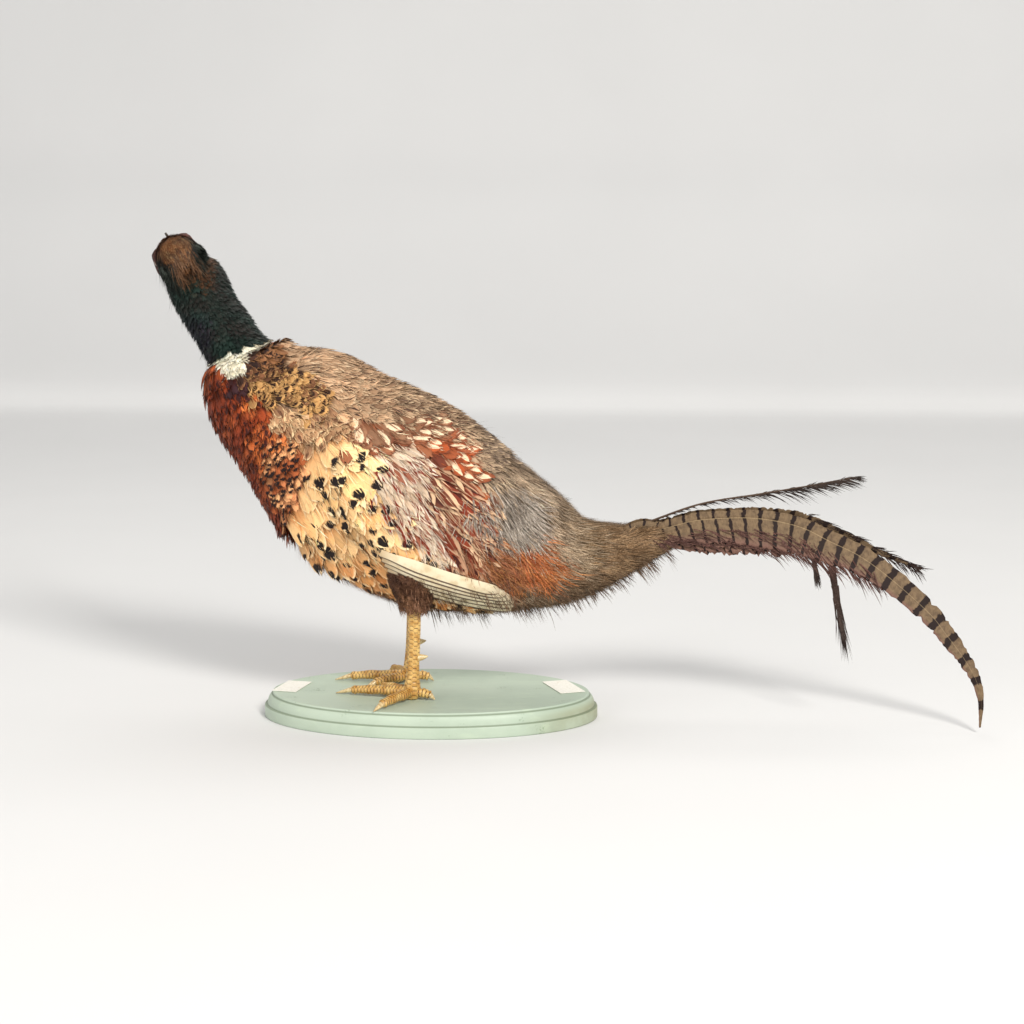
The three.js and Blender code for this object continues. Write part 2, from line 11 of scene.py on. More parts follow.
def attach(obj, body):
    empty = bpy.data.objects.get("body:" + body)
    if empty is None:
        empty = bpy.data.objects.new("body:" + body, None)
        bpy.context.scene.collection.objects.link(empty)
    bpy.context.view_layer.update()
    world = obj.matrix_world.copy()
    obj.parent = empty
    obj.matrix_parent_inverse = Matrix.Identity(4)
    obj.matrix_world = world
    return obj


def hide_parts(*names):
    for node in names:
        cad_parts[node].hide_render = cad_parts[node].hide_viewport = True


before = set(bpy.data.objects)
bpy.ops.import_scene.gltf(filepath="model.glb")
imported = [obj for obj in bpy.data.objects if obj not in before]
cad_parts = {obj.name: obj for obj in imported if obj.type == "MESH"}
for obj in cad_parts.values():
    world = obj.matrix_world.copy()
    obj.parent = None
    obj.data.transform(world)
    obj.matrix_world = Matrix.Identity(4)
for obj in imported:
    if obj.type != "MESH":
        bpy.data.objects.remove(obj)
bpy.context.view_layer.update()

bl_info = {
    "name": "Mounted Pheasant",
    "version": (1, 0, 0),
    "blender": (4, 5, 0),
    "location": "3D View > Sidebar > Pheasant",
    "description": "The skin, feathers, legs, base and stage of a mounted cock pheasant",
    "category": "Object",
}

# ---- sizes
# The bird's own lengths are in millimetres from BIRD_AT, where its middle plane is y = 0.

MM = 0.001
BIRD_AT = np.array([0.0, -5.0, -1.0])
TURN = 2 * math.pi
GAP = 0.3
BOARD_TOP = 20.0
ACROSS = np.array([0.0, 1.0, 0.0])
FLOOR = BOARD_TOP - BIRD_AT[2]

# The sections of neck and trunk from nape to tail: centre x, y, z, half depth, half width.
BODY = np.array([
    [-192.5, 8, 363, 21.5, 17], [-184, 5, 347.5, 24.5, 20], [-173, 1, 327, 23.5, 23],
    [-161.5, 0, 310, 24.3, 25], [-153.5, 0, 296.5, 25.5, 29], [-146.5, 0, 283, 39.5, 38],
    [-128.5, 0, 260, 52.5, 46], [-98, 0, 236, 67, 53], [-62, 0, 206, 78, 57],
    [-14, 0, 176, 82, 58], [34, 0, 155, 71, 53], [78, 0, 141, 54, 44], [116, 0, 133, 36, 32],
    [150, 0, 138, 22, 22], [170, 0, 144, 16.5, 16], [186, 0, 149, 12, 11],
], float)
NECK_WAY = (BODY[3, :3] - BODY[0, :3]) / np.linalg.norm(BODY[3, :3] - BODY[0, :3])
BACK_FULLER = 0.1
BREAST = 7  # the section from which the back is fully wider than the front
SWELL = {"x": -8, "z": 172, "slant": -0.7405, "long": 106, "wide": 50, "height": 9, "edge": 0.32}

# The head's frame, and its sections from nape to bill: forward, half width, top, bottom.
HEAD_CENTRE = np.array([-199, 8, 368.5])
HEAD_LEAN, HEAD_TURN, HEAD_PITCH = 33, 13, 18
HEAD = np.array([
    [-24, 7, 7, 8], [-19, 14, 14, 15], [-10, 18, 18.5, 19], [0, 18.5, 19.5, 20],
    [10, 17, 18, 18], [18, 13.5, 14, 14.5], [25, 8.5, 8, 9.5],
], float)
EYE = {"radius": 5, "forward": 9, "side": 13.3, "up": 4}
WATTLE = {"forward": 9, "side": 10.5, "up": -1, "long": 13.6, "thick": 9, "tall": 15.2}
EAR_ROOT, EAR_TIP = np.array([-6, 14.5, 2]), np.array([-22, 18.5, 5])
BILL_UPPER = np.array([
    [23, 2.2, 6.6, 4.6], [25.3, 2.4, 5.6, 3.9], [35, 2.2, 4.6, 3.3], [45, 0.6, 3.2, 2.4],
    [50, -1.6, 1.9, 1.7], [53, -3.2, 1.0, 1.1],
])
BILL_LOWER = np.array([
    [23, -3.6, 5.4, 2.2], [25.3, -3.6, 4.9, 1.9], [36, -3.1, 3.9, 1.6], [42, -3.3, 2.9, 1.3],
    [46, -3.7, 2.0, 1.0],
])

THIGH = {"top": 128, "bottom": 87, "top_radius": 22, "bottom_radius": 9.5}
SHANK = {"radius": 5.2, "middle": 4.9, "ankle": 6.6, "ankle_height": 9.5}
TOE = {"radius": 3.9, "claw_share": 0.2, "arch": 3.2}
SPUR = {"height": 34, "length": 10, "radius": 3.2}
FEET = {
    "left": {
        "x": -12, "y": -28, "thigh": (-8, -31),
        "toes": {"inner": (135, 47), "middle": (166, 65), "outer": (241, 53), "hind": (-12, 19)},
    },
    "right": {
        "x": -19, "y": 33, "thigh": (-13, 33),
        "toes": {"inner": (218, 44), "middle": (177, 63), "outer": (118, 47), "hind": (12, 19)},
    },
}

# The tail feathers' shafts: x, y, z, and the vane's width above and below.
TAIL_START = [
    [150, -1.5, 154, 0.6, 1], [168, -0.5, 158.5, 4.5, 6], [184.8, 0, 156.9, 6, 11],
    [211, 0, 163.5, 6.5, 20],
]
TAIL_LINE = {
    "left": np.array([
        *TAIL_START, [238, 0, 166, 6.5, 23], [260, -1, 166, 7, 25],
        [281, -2, 163, 8, 25], [299, -4, 158, 8, 23], [317, -6, 149, 9, 19],
        [342, -9, 137, 9.5, 15], [368, -13, 118, 10, 11.5], [396, -17, 93, 8.5, 9],
        [408, -20, 78, 8, 8], [421, -23, 61, 6.5, 6.5], [431, -26, 44, 4.5, 4.5],
        [435.5, -28, 27, 2.5, 3], [435, -30, 6, 0.8, 0.8],
    ]),
    "right": np.array([
        *TAIL_START, [238, 0, 166, 6.5, 22], [260, 0, 166.5, 7, 22],
        [281, 0, 165, 7.5, 21], [299, 1, 161, 7.5, 19], [317, 2, 154.5, 6, 12],
        [342, 2, 144, 4, 6], [368, 2, 133, 1.6, 2.4], [392, 1, 123, 0.7, 0.8],
    ]),
}
TAIL_EARLY_ROWS = 2  # rows that lie under the tail coverts
TAIL_SHARE = {"left": (1, 0.45, 0.34, 0.23), "right": (1, 0.84, 0.62, 0.4)}
TAIL_DROP = (0, 4, 7, 9)
TAIL_TILT = math.radians(20)
TAIL_MAP_BARS = 40  # the bars that the map's whole length holds
TAIL_FIRST_Y, TAIL_NEST = 6.8, 1.4
STRAY_LINE = np.array([
    [172, 0, 160, 1, 1.5], [216, -1, 176, 1.5, 2.6], [263, -1, 184.5, 1.8, 6],
    [305, -1, 192, 1.4, 7], [339, -2, 199, 0.8, 1.5],
])
LOCKS = (
    {"top": (303, -17, 143), "bottom": (309.5, -18.5, 111), "wide": 5},
    {"top": (319, -16, 130), "bottom": (333, -19, 51), "wide": 6.5},
)

BOARD = {"length": 270, "width": 169, "inset": 6.5}
SIDES = {"left": 1, "right": -1}
PATCH = 0.003  # the width of one feather's patch on the map OFBake


# ---- colours


def paint(red, green, blue):
    """A colour given as 0 to 255 on a screen, as linear light with full alpha."""
    screen = np.array([red, green, blue]) / 255
    light = np.where(screen < 0.04045, screen / 12.92, ((screen + 0.055) / 1.055) ** 2.4)
    return np.append(light, 1.0)


def plumage(shape, space, long, wide, stand, lie, spread, ground, root, tip, margin=None,
            mark=None, marked=0.0, edge=0.15, spot=(0.9, 0.1, 0.3), barbs=12, gloss=0.7):
    """One plumage. Lengths are in mm: the distance between roots, the feather's length and
    width, and how far its tip stands over the coat. Then its lie below the horizontal, a number
    or a rule of x and z, and the spread of that, in degrees; the colours between which feathers
    vary, and those of root and tip. A vane also has a margin, and a mark on a share of the
    feathers; edge is the margin's width and spot the mark's place, length and width."""
    return dict(
        shape=shape, space=space, long=long, wide=wide, stand=stand, lie=lie, spread=spread,
        # root is the colour at a feather's base: darker partly as its own down and partly as painted
        # shade where the feathers overlap
        ground=[paint(*colour) for colour in ground], root=paint(*root), tip=paint(*tip),
        margin=paint(*(margin or tip)), mark=paint(*(mark or tip)), marked=marked, edge=edge,
        spot=spot, barbs=barbs, gloss=gloss)


PLUMAGE = {
    "neck": plumage(
        "vane", 3.3, 9.5, 5.0, 1.1, 57, 30, ((24, 30, 28), (40, 58, 51)), (10, 12, 12),
        (58, 78, 68), (34, 50, 45), barbs=14, gloss=0.5),
    "ring": plumage(
        "vane", 3.2, 9, 5, 0.9, 60, 20, ((228, 219, 192), (246, 240, 220)), (190, 176, 144),
        (252, 248, 232), barbs=11),
    "mantle": plumage(
        "vane", 4.6, 13, 6.8, 2.2, lambda x, z: 22 + 18 * smooth((-125 - x) / 25), 50,
        ((202, 154, 96), (122, 80, 54)), (50, 34, 28), (226, 190, 134), (212, 170, 112),
        (58, 38, 30), 0.8, 0.0, (0.52, 0.24, 1.0), 26),
    "mantle_dark": plumage(
        "vane", 4.4, 12, 6.4, 2.0, 42, 44, ((72, 46, 36), (142, 96, 62)), (44, 30, 26),
        (204, 166, 112), (164, 116, 74), (46, 30, 26), 0.8, 0.0, (0.58, 0.26, 1.1), 24),
    "chest": plumage(
        "vane", 5.6, 15, 8.6, 1.6, lambda x, z: 60 + 10 * smooth((250 - z) / 50), 24,
        ((160, 68, 32), (232, 130, 66)), (94, 40, 26), (220, 134, 80), (50, 22, 20),
        (66, 27, 22), 0.35, 0.22, (0.8, 0.2, 0.5), 18, 0.6),
    "lower_chest": plumage(
        "vane", 5.6, 13, 8.6, 1.7, 60, 26, ((240, 174, 120), (178, 96, 54)), (110, 54, 34),
        (248, 212, 166), (96, 48, 34), (36, 22, 21), 0.85, 0.2, (0.97, 0.22, 1.2), 12),
    "flank": plumage(
        "vane", 10.4, 31, 18, 2.0, 58, 22, ((252, 216, 162), (240, 182, 116)), (218, 150, 92),
        (255, 240, 208), (252, 226, 180), (30, 21, 20), 0.6, 0.06, (0.86, 0.16, 0.72), 22),
    "shoulder": plumage(
        "vane", 5.0, 15, 7.2, 1.8, 44, 38, ((232, 188, 142), (168, 126, 92)), (118, 84, 62),
        (246, 222, 182), (236, 206, 160), (112, 76, 56), 0.4, 0.12, (0.7, 0.2, 0.3), 18),
    "scapulars": plumage(
        "vane", 7.6, 25, 11.5, 2.4, lambda x, z: np.interp(x, [-80, -45, -10], [64, 58, 18]), 42,
        ((182, 82, 38), (146, 88, 56)), (132, 76, 48), (226, 196, 158), (120, 64, 42),
        (240, 212, 178), 0.7, 0.16, (0.64, 0.34, 0.44), 24),
    "wing_coverts": plumage(
        "vane", 5.0, 38, 6.0, 2.2, 60, 20, ((240, 220, 192), (190, 160, 132)), (220, 196, 168),
        (244, 236, 224), (220, 204, 186), (126, 48, 30), 0.46, 0.1, (0.78, 0.3, 0.6), 22),
    "tertials": plumage(
        "vane", 8.2, 48, 11.5, 2.4, 58, 12, ((132, 50, 28), (100, 54, 38)), (136, 84, 60),
        (216, 182, 146), (222, 186, 148), (74, 33, 25), 0.4, 0.3, (0.7, 0.3, 0.34), 12),
    "back": plumage(
        "vane", 5.8, 20, 7.2, 2.2, lambda x, z: 16 + 18 * smooth((x + 100) / 140), 40,
        ((110, 82, 62), (188, 156, 124)), (78, 57, 46), (230, 208, 178), (208, 180, 146),
        (76, 55, 44), 0.35, 0.08, (0.6, 0.5, 0.24), 26),
    "rump": plumage(
        "tuft", 4.2, 28, 8.5, 3.0, lambda x, z: (
            np.interp(x, [50, 90, 120], [62, 46, 26]) - 14 * smooth((z - 190) / 40)),
        36, ((132, 108, 84), (206, 180, 150)), (98, 80, 64), (224, 204, 176)),
    "saddle": plumage(
        "tuft", 4.2, 27, 10, 4.6, lambda x, z: 76 + 1.3 * (60 - x), 30,
        ((140, 127, 114), (188, 175, 160)), (92, 78, 68), (220, 210, 198)),
    "rust": plumage(
        "tuft", 4.4, 38, 11, 4.6, 58, 38, ((176, 80, 36), (220, 134, 70)), (120, 58, 34),
        (236, 166, 92)),
    "belly": plumage(
        "tuft", 4.4, 19, 8, 3.4, 34, 40, ((116, 70, 44), (164, 106, 66)), (70, 44, 32),
        (186, 134, 90)),
    "rear": plumage(
        "tuft", 4.4, 26, 8.5, 4.2, lambda x, z: np.interp(x, [40, 90, 140], [30, 26, 2]), 40,
        ((112, 86, 62), (160, 130, 98)), (74, 56, 42), (190, 158, 122)),
    "coverts": plumage(
        "tuft", 4.2, 32, 8.5, 3.0, lambda x, z: (
            np.interp(x, [110, 150, 180], [16, -8, -14]) + 26 * smooth((150 - z) / 22)),
        28, ((108, 80, 54), (160, 126, 88)), (80, 58, 40), (198, 164, 122)),
}
LOPSIDED = ("tertials", "wing_coverts")


# ---- properties


class PheasantSizes(bpy.types.PropertyGroup):
    """The lengths that shape the coat."""

    coat_depth: FloatProperty(
        name="Coat depth", description="How far the skin lies inside the feathers' outline",
        default=0.0042, min=0.001, max=0.01, unit="LENGTH")
    barbs: FloatProperty(
        name="Barbs", description="How many loose barbs each feather has, over the usual number",
        default=1.0, min=0.2, max=2.0)
    tail_bar: FloatProperty(
        name="Tail bar spacing", description="Distance between the dark bars of the tail",
        default=0.0125, min=0.005, max=0.03, unit="LENGTH")
    scute: FloatProperty(
        name="Scute length", description="Length of one horny plate on the shank",
        default=0.0036, min=0.002, max=0.01, unit="LENGTH")
    seed: IntProperty(name="Seed", description="Start of every random draw", default=7, min=0)


class PheasantColours(bpy.types.PropertyGroup):
    """The colours of the base, the bare parts and the tail."""

    board: FloatVectorProperty(
        name="Base paint", description="Pale green paint of the base", subtype="COLOR", size=4,
        default=tuple(paint(184, 198, 180)), min=0, max=1)
    leg: FloatVectorProperty(
        name="Legs", description="Golden scales of the legs", subtype="COLOR", size=4,
        default=tuple(paint(184, 134, 62)), min=0, max=1)
    wattle: FloatVectorProperty(
        name="Wattle", description="Dried red skin round the eye", subtype="COLOR", size=4,
        default=tuple(paint(76, 36, 28)), min=0, max=1)
    tail: FloatVectorProperty(
        name="Tail", description="Buff ground of the tail feathers", subtype="COLOR", size=4,
        default=tuple(paint(121, 100, 75)), min=0, max=1)


def sizes():
    """The sidebar's lengths."""
    return bpy.context.scene.pheasant_sizes


def colours():
    """The sidebar's colours."""
    return bpy.context.scene.pheasant_colours


# ---- curves


def smooth(t):
    """0 below 0, 1 above 1, and 3t^2 - 2t^3 between."""
    t = np.clip(t, 0, 1)
    return t * t * (3 - 2 * t)


def unit(vectors):
    """Vectors over their lengths."""
    return vectors / np.maximum(np.linalg.norm(vectors, axis=-1, keepdims=True), 1e-12)


def through(rows, t):
    """Uniform Catmull-Rom through the rows at t, with straight ends."""
    rows = np.asarray(rows, float)
    padded = np.concatenate([2 * rows[:1] - rows[1:2], rows, 2 * rows[-1:] - rows[-2:-1]])
    t = np.asarray(t, float)
    i = np.clip(np.floor(t).astype(int), 0, len(rows) - 2)
    f = t - i
    if rows.ndim > 1:
        f = f[..., None]
    a, b, c, d = padded[i], padded[i + 1], padded[i + 2], padded[i + 3]
    return b + 0.5 * f * (c - a + f * (2 * a - 5 * b + 4 * c - d + f * (3 * (b - c) + d - a)))


def slope(rows, t):
    """The direction of a curve at t, from points on either side of it."""
    last = len(rows) - 1
    ahead = through(rows[:, :3], np.minimum(t + 0.01, last))
    return unit(ahead - through(rows[:, :3], np.maximum(t - 0.01, 0)))


def joined(*parts):
    """Numbers and arrays stretched to one shape, as the columns of points."""
    return np.stack(np.broadcast_arrays(*parts), axis=-1)


def summed(steps):
    """The sum of the steps before each place."""
    return np.concatenate([[0], np.cumsum(steps)])


def far_along(line):
    """How far along a line of points each one is."""
    return summed(np.linalg.norm(np.diff(line, axis=0), axis=-1))


def random(name):
    """A generator of its own for each piece."""
    return np.random.default_rng([sizes().seed, *name.encode()])


# ---- surfaces


def swell_at(x, z):
    """How far the folded wing swells the side, inside an oval."""
    dx, dz = x - SWELL["x"], z - SWELL["z"]
    cos, sin = math.cos(SWELL["slant"]), math.sin(SWELL["slant"])
    reach = np.hypot((dx * cos + dz * sin) / SWELL["long"], (dz * cos - dx * sin) / SWELL["wide"])
    return SWELL["height"] * smooth((1 - reach) / SWELL["edge"])


def body_point(u, v, grow=0.0):
    """The trunk and neck: an ellipse square to the centre line at section u, with v from 0 at
    the back to a quarter turn at the left side."""
    along = slope(BODY, u)
    left = unit(np.array([0.0, -1.0, 0.0]) + along * along[..., 1:2])
    back = unit(np.cross(left, along))
    row = through(BODY, u)
    fuller = 1 + BACK_FULLER * np.cos(v) * smooth(u / BREAST)
    up = ((row[..., 3] + grow) * np.cos(v))[..., None] * back
    out = ((row[..., 4] + grow) * fuller * np.sin(v))[..., None] * left
    point = row[..., :3] + up + out
    point[..., 1] -= np.sign(np.sin(v)) * swell_at(point[..., 0], point[..., 2])
    return point


def head_frame():
    """Forward, left and up of the head: level across the bird, leaned, turned and pitched."""
    lean = math.radians(HEAD_LEAN)
    up = Vector((-math.sin(lean), 0, math.cos(lean)))
    forward = Matrix.Rotation(math.radians(HEAD_TURN), 3, up) @ Vector((0, 1, 0))
    left = up.cross(forward)
    pitch = Matrix.Rotation(-math.radians(HEAD_PITCH), 3, left)
    return np.array([pitch @ forward, left, pitch @ up])


HEAD_FRAME = head_frame()


def in_head(forward, left, up):
    """Points given in the head's frame, in the bird's lengths."""
    return HEAD_CENTRE + joined(forward, left, up) @ HEAD_FRAME


def head_point(u, v, grow=0.0):
    """The head: at section u, half an ellipse above and another below. v is 0 at the left."""
    forward, wide, top, bottom = np.moveaxis(through(HEAD, u), -1, 0)
    tall = np.where(np.sin(v) > 0, top, bottom)
    return in_head(forward, (wide + grow) * np.cos(v), (tall + grow) * np.sin(v))


def thigh_point(foot):
    """A thigh as level rings whose centre and radius run smoothly from the hip to the hock."""
    top = np.array([*foot["thigh"], THIGH["top"]])
    end = np.array([foot["x"] + 2, foot["y"], THIGH["bottom"]])

    def point(u, v, grow=0.0):
        u, v = np.broadcast_arrays(u, v)
        shrink = smooth(u * 1.1)
        radius = THIGH["top_radius"] + (THIGH["bottom_radius"] - THIGH["top_radius"]) * shrink
        ring = joined(np.cos(v), np.sin(v), 0.0)
        return top + (end - top) * u[..., None] + (radius + grow)[..., None] * ring

    return point


class Surface:
    """A tube-like surface known on a fine grid, with its slopes and its outward normal."""

    def __init__(self, point, low, high, rows=300, columns=180):
        self.low, self.high, self.rows, self.columns = low, high, rows, columns
        u, v = np.meshgrid(
            np.linspace(low, high, rows + 1), np.linspace(0, TURN, columns + 1), indexing="ij")
        at = point(u, v)
        wrapped = np.concatenate([at[:, -2:-1], at, at[:, 1:2]], axis=1)
        du = np.gradient(at, (high - low) / rows, axis=0)
        dv = (wrapped[:, 2:] - wrapped[:, :-2]) / (2 * TURN / columns)
        self.fields = np.concatenate([at, du, dv, unit(np.cross(dv, du))], axis=-1)

    def sample(self, u, v):
        """Place, slopes along u and v, and normal. v wraps, and past the ends the last stretch
        runs on straight."""
        row = (u - self.low) / (self.high - self.low) * self.rows
        column = np.mod(v, TURN) / TURN * self.columns
        i = np.clip(np.floor(row).astype(int), 0, self.rows - 1)
        j = np.clip(np.floor(column).astype(int), 0, self.columns - 1)
        f, g = (row - i)[..., None], (column - j)[..., None]
        low = self.fields[i, j] * (1 - g) + self.fields[i, j + 1] * g
        high = self.fields[i + 1, j] * (1 - g) + self.fields[i + 1, j + 1] * g
        return np.split(low * (1 - f) + high * f, 4, axis=-1)

    def roots(self, space, draw):
        """Rows of places about one spacing apart, each moved at random by up to a fifth of it."""
        line_u = np.linspace(self.low, self.high, self.rows + 1)
        steps = np.linalg.norm(self.fields[..., 3:6], axis=-1).mean(axis=1)
        arc = summed((steps[1:] + steps[:-1]) / 2 * np.diff(line_u))
        rows = np.interp(np.arange(space / 2, arc[-1], space * 0.87), arc, line_u)
        angles = np.linspace(0, TURN, self.columns + 1)
        places = []
        for number, row in enumerate(rows):
            around = far_along(self.sample(np.full_like(angles, row), angles)[0])
            count = max(4, int(round(around[-1] / space)))
            at = (np.arange(count) + 0.5 * (number % 2) + draw.uniform(-0.2, 0.2, count)) / count
            spin = np.interp(np.mod(at, 1) * around[-1], around, angles)
            places.append(joined(row, spin))
        u, v = np.concatenate(places).T
        return u + draw.uniform(-0.2, 0.2, len(u)) * space / np.interp(u, line_u, steps), v


def hug(surface, u, v, toward, along, across, lift):
    """Templates laid over a surface, one row of points at each (u, v). The heading is pressed
    flat on the surface; a point is the surface at the steps of u and v that go along and across
    it, raised by lift."""
    _, du, dv, normal = surface.sample(u, v)
    toward = unit(toward - normal * (toward * normal).sum(-1, keepdims=True))
    beside = np.cross(normal, toward)
    uu, uv, vv = (du * du).sum(-1), (du * dv).sum(-1), (dv * dv).sum(-1)
    area = np.maximum(uu * vv - uv * uv, 1e-9)

    def steps(way):
        a, b = (du * way).sum(-1), (dv * way).sum(-1)
        return ((vv * a - uv * b) / area)[:, None], ((uu * b - uv * a) / area)[:, None]

    ahead_u, ahead_v = steps(toward)
    side_u, side_v = steps(beside)
    at, _, _, out = surface.sample(
        u[:, None] + ahead_u * along + side_u * across, v[:, None] + ahead_v * along + side_v * across)
    return at + unit(out) * lift[..., None]


# ---- meshes


def grid_quads(rows, columns, closed):
    """The faces of a grid of points; a closed grid joins its last column to its first."""
    wide = columns if closed else columns - 1
    r, c = np.meshgrid(np.arange(rows - 1), np.arange(wide), indexing="ij")
    here, beside = r * columns + c, r * columns + (c + 1) % columns
    return joined(here, beside, beside + columns, here + columns).reshape(-1, 4)


def placed(name, data):
    """A new object in the scene, shaded smooth if it is a mesh."""
    if isinstance(data, bpy.types.Mesh):
        data.polygons.foreach_set("use_smooth", np.ones(len(data.polygons), bool))
    thing = bpy.data.objects.new(name, data)
    bpy.context.scene.collection.objects.link(thing)
    return thing


def colour_points(mesh, key, values):
    """A colour for each point of a mesh, or one colour for them all."""
    values = np.broadcast_to(values.reshape(-1, 4), (len(mesh.vertices), 4))
    layer = mesh.attributes.new(key, "FLOAT_COLOR", "POINT")
    layer.data.foreach_set("color", values.astype(np.float32).ravel())


def new_piece(name, points, quads, triangles=(), slot=None, replaces=(), material=None,
              colours=None, uvs=None, bird=True):
    """A mesh object from whole arrays, riding on the one body."""
    points = (points.reshape(-1, 3) + (BIRD_AT if bird else 0)) * MM
    quads = np.asarray(quads, int).reshape(-1, 4)
    triangles = np.asarray(triangles, int).reshape(-1, 3)
    corners = np.concatenate([quads.ravel(), triangles.ravel()]).astype(np.int32)
    starts = np.concatenate([np.arange(len(quads)) * 4, 4 * len(quads) + np.arange(len(triangles)) * 3])
    mesh = bpy.data.meshes.new(name)
    mesh.vertices.add(len(points))
    mesh.vertices.foreach_set("co", points.astype(np.float32).ravel())
    mesh.loops.add(len(corners))
    mesh.loops.foreach_set("vertex_index", corners)
    mesh.polygons.add(len(starts))
    mesh.polygons.foreach_set("loop_start", starts.astype(np.int32))
    mesh.update(calc_edges=True)
    for key, values in (colours or {}).items():
        colour_points(mesh, key, values)
    for key, values in (uvs or {}).items():
        layer = mesh.uv_layers.new(name=key)
        flat = values.reshape(-1, 2)[corners]
        layer.data.foreach_set("uv", flat.astype(np.float32).ravel())
    mesh.update()
    piece = placed(name, mesh)
    if material is not None:
        mesh.materials.append(material)
    finish_piece(piece, replaces)
    return piece


def finish_piece(piece, replaces=()):
    """Hands a piece over: its body and the nodes it stands for."""
    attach(piece, "root")
    if replaces:
        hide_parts(*replaces)


def copies(faces, points_each, count):
    """The faces of one template repeated for every copy of it."""
    faces = np.asarray(faces, int)
    shift = (np.arange(count) * points_each)[:, None, None]
    return (faces[None] + shift).reshape(-1, faces.shape[-1])


def closed_tube(rings):
    """A grid of rings closed by a point at the middle of each end."""
    rows, columns = rings.shape[:2]
    points = np.concatenate([
        rings.reshape(-1, 3), rings[0].mean(0, keepdims=True), rings[-1].mean(0, keepdims=True)])
    ring = np.arange(columns)
    after = (ring + 1) % columns
    last = (rows - 1) * columns
    start = joined(rows * columns, after, ring)
    end = joined(rows * columns + 1, last + ring, last + after)
    return points, grid_quads(rows, columns, True), np.concatenate([start, end])


def tube_rings(line, radii, sides=16, flat=1.0, level=(0.0, 0.0, 1.0)):
    """Circles about a line of points, square to it, flattened across its height."""
    along = unit(np.gradient(line, axis=0))
    across = unit(np.cross(along, np.asarray(level)))
    rise = unit(np.cross(across, along))
    angle = np.arange(sides) * TURN / sides
    out = across[:, None] * np.cos(angle)[:, None] + flat * rise[:, None] * np.sin(angle)[:, None]
    return line[:, None] + out * np.asarray(radii)[:, None, None]


def face_outward(piece):
    """Turns every face of a closed piece outwards, its doubles merged."""
    work = bmesh.new()
    work.from_mesh(piece.data)
    bmesh.ops.remove_doubles(work, verts=work.verts, dist=1e-6)
    bmesh.ops.recalc_face_normals(work, faces=work.faces)
    work.to_mesh(piece.data)
    work.free()
    piece.data.update()


def solid_tube(name, rings, **settings):
    """A piece closed over rings, with its faces outward."""
    piece = new_piece(name, *closed_tube(rings), **settings)
    face_outward(piece)
    return piece


# ---- feather templates

VANE_ROWS = np.array([0, 0.14, 0.32, 0.52, 0.7, 0.84, 0.94, 1.0])
VANE_COLUMNS = np.linspace(-1, 1, 7)
BARB_POINTS = 7
BARB_QUADS, BARB_TRIANGLES = [[0, 1, 3, 2], [2, 3, 5, 4]], [[4, 5, 6]]


def spread_sizes(count, *parts):
    """Numbers or arrays as one for each feather, to spread over its grid."""
    return [np.broadcast_to(part, count)[:, None, None] for part in parts]


def vane_template(count, long, wide, stand, draw, fray):
    """A feather as a grid along and across its shaft, rounded at the tip, where some columns
    of barbs end early."""
    along, across = np.meshgrid(VANE_ROWS, VANE_COLUMNS, indexing="ij")
    rise = np.sqrt(np.clip(along / 0.4, 0.05, 1))
    tip = np.sqrt(np.clip(1 - (np.clip(along - 0.55, 0, 1) / 0.46) ** 2.4, 0.02, 1))
    half = rise * tip
    shape = (count, *along.shape)
    long, wide, stand = spread_sizes(count, long, wide, stand)
    size = draw.uniform(0.84, 1.12, (count, 1, 1))
    short = draw.uniform(0, fray, (count, 1, len(VANE_COLUMNS))) * smooth((along - 0.6) / 0.4)
    bend = draw.normal(0, 0.06, (count, 1, 1))
    a = np.broadcast_to(along, shape) - short
    b = half * across
    lengthwise = a * long * size
    sideways = (b * wide / 2 + bend * long * a**2) * size
    crown = np.minimum(0.13 * wide, 1.1) * b**2
    tilt = draw.normal(0, 0.05, (count, 1, 1)) * wide * b
    height = a**1.3 * stand - crown + tilt
    uv = joined(a, 0.5 + 0.5 * across)
    return [x.reshape(count, -1) for x in (lengthwise, sideways, height)] + [
        uv.reshape(count, -1, 2), grid_quads(len(VANE_ROWS), len(VANE_COLUMNS), False),
        np.zeros((0, 3), int)]


def tuft_template(count, long, wide, stand, draw, barbs):
    """A spray of tapered barbs, each two faces and a pointed tip. They turn outwards as the
    square of their length and end at their own heights."""
    barbs = max(3, round(barbs * sizes().barbs))
    shape = (count, barbs, 1)
    long, wide, stand = spread_sizes(count, long, wide, stand)
    start = np.linspace(-0.5, 0.5, barbs)[:, None] + draw.normal(0, 0.08, shape)
    splay = start * 0.5 + draw.normal(0, 0.2, shape)
    reach = draw.uniform(0.6, 0.95, shape) * long
    begin = draw.uniform(0, 0.18, shape) * long
    along = np.array([0, 0, 0.38, 0.38, 0.74, 0.74, 1.0])
    edge = np.array([-1, 1, -1, 1, -0.7, 0.7, 0.0])
    thick = draw.uniform(0.26, 0.46, shape) * np.sqrt(wide / 8)
    a = begin + reach * along
    spray = start * (0.62 + 0.38 * along) + 0.4 * splay * along**2
    b = wide * spray + thick * edge
    height = draw.uniform(0.2, 1.0, shape) * stand * along**1.4 + draw.uniform(-0.5, 0.3, shape)
    uv = joined(a / long, 0.5 + b / wide)
    return [x.reshape(count, -1) for x in (a, b, height)] + [
        uv.reshape(count, -1, 2), copies(BARB_QUADS, BARB_POINTS, barbs),
        copies(BARB_TRIANGLES, BARB_POINTS, barbs)]


def blend(first, second, share):
    """Two colours, by a share of the second."""
    return first + (second - first) * np.asarray(share, float)[..., None]


def shaded(colour, shade):
    """A colour times a shade, with its alpha kept."""
    return np.clip(colour * (shade * np.array([1, 1, 1, 0]) + [0, 0, 0, 1]), 0, 1)


def per_barb(values):
    """One value to each barb, for all of its points."""
    return np.repeat(values, BARB_POINTS, axis=1)


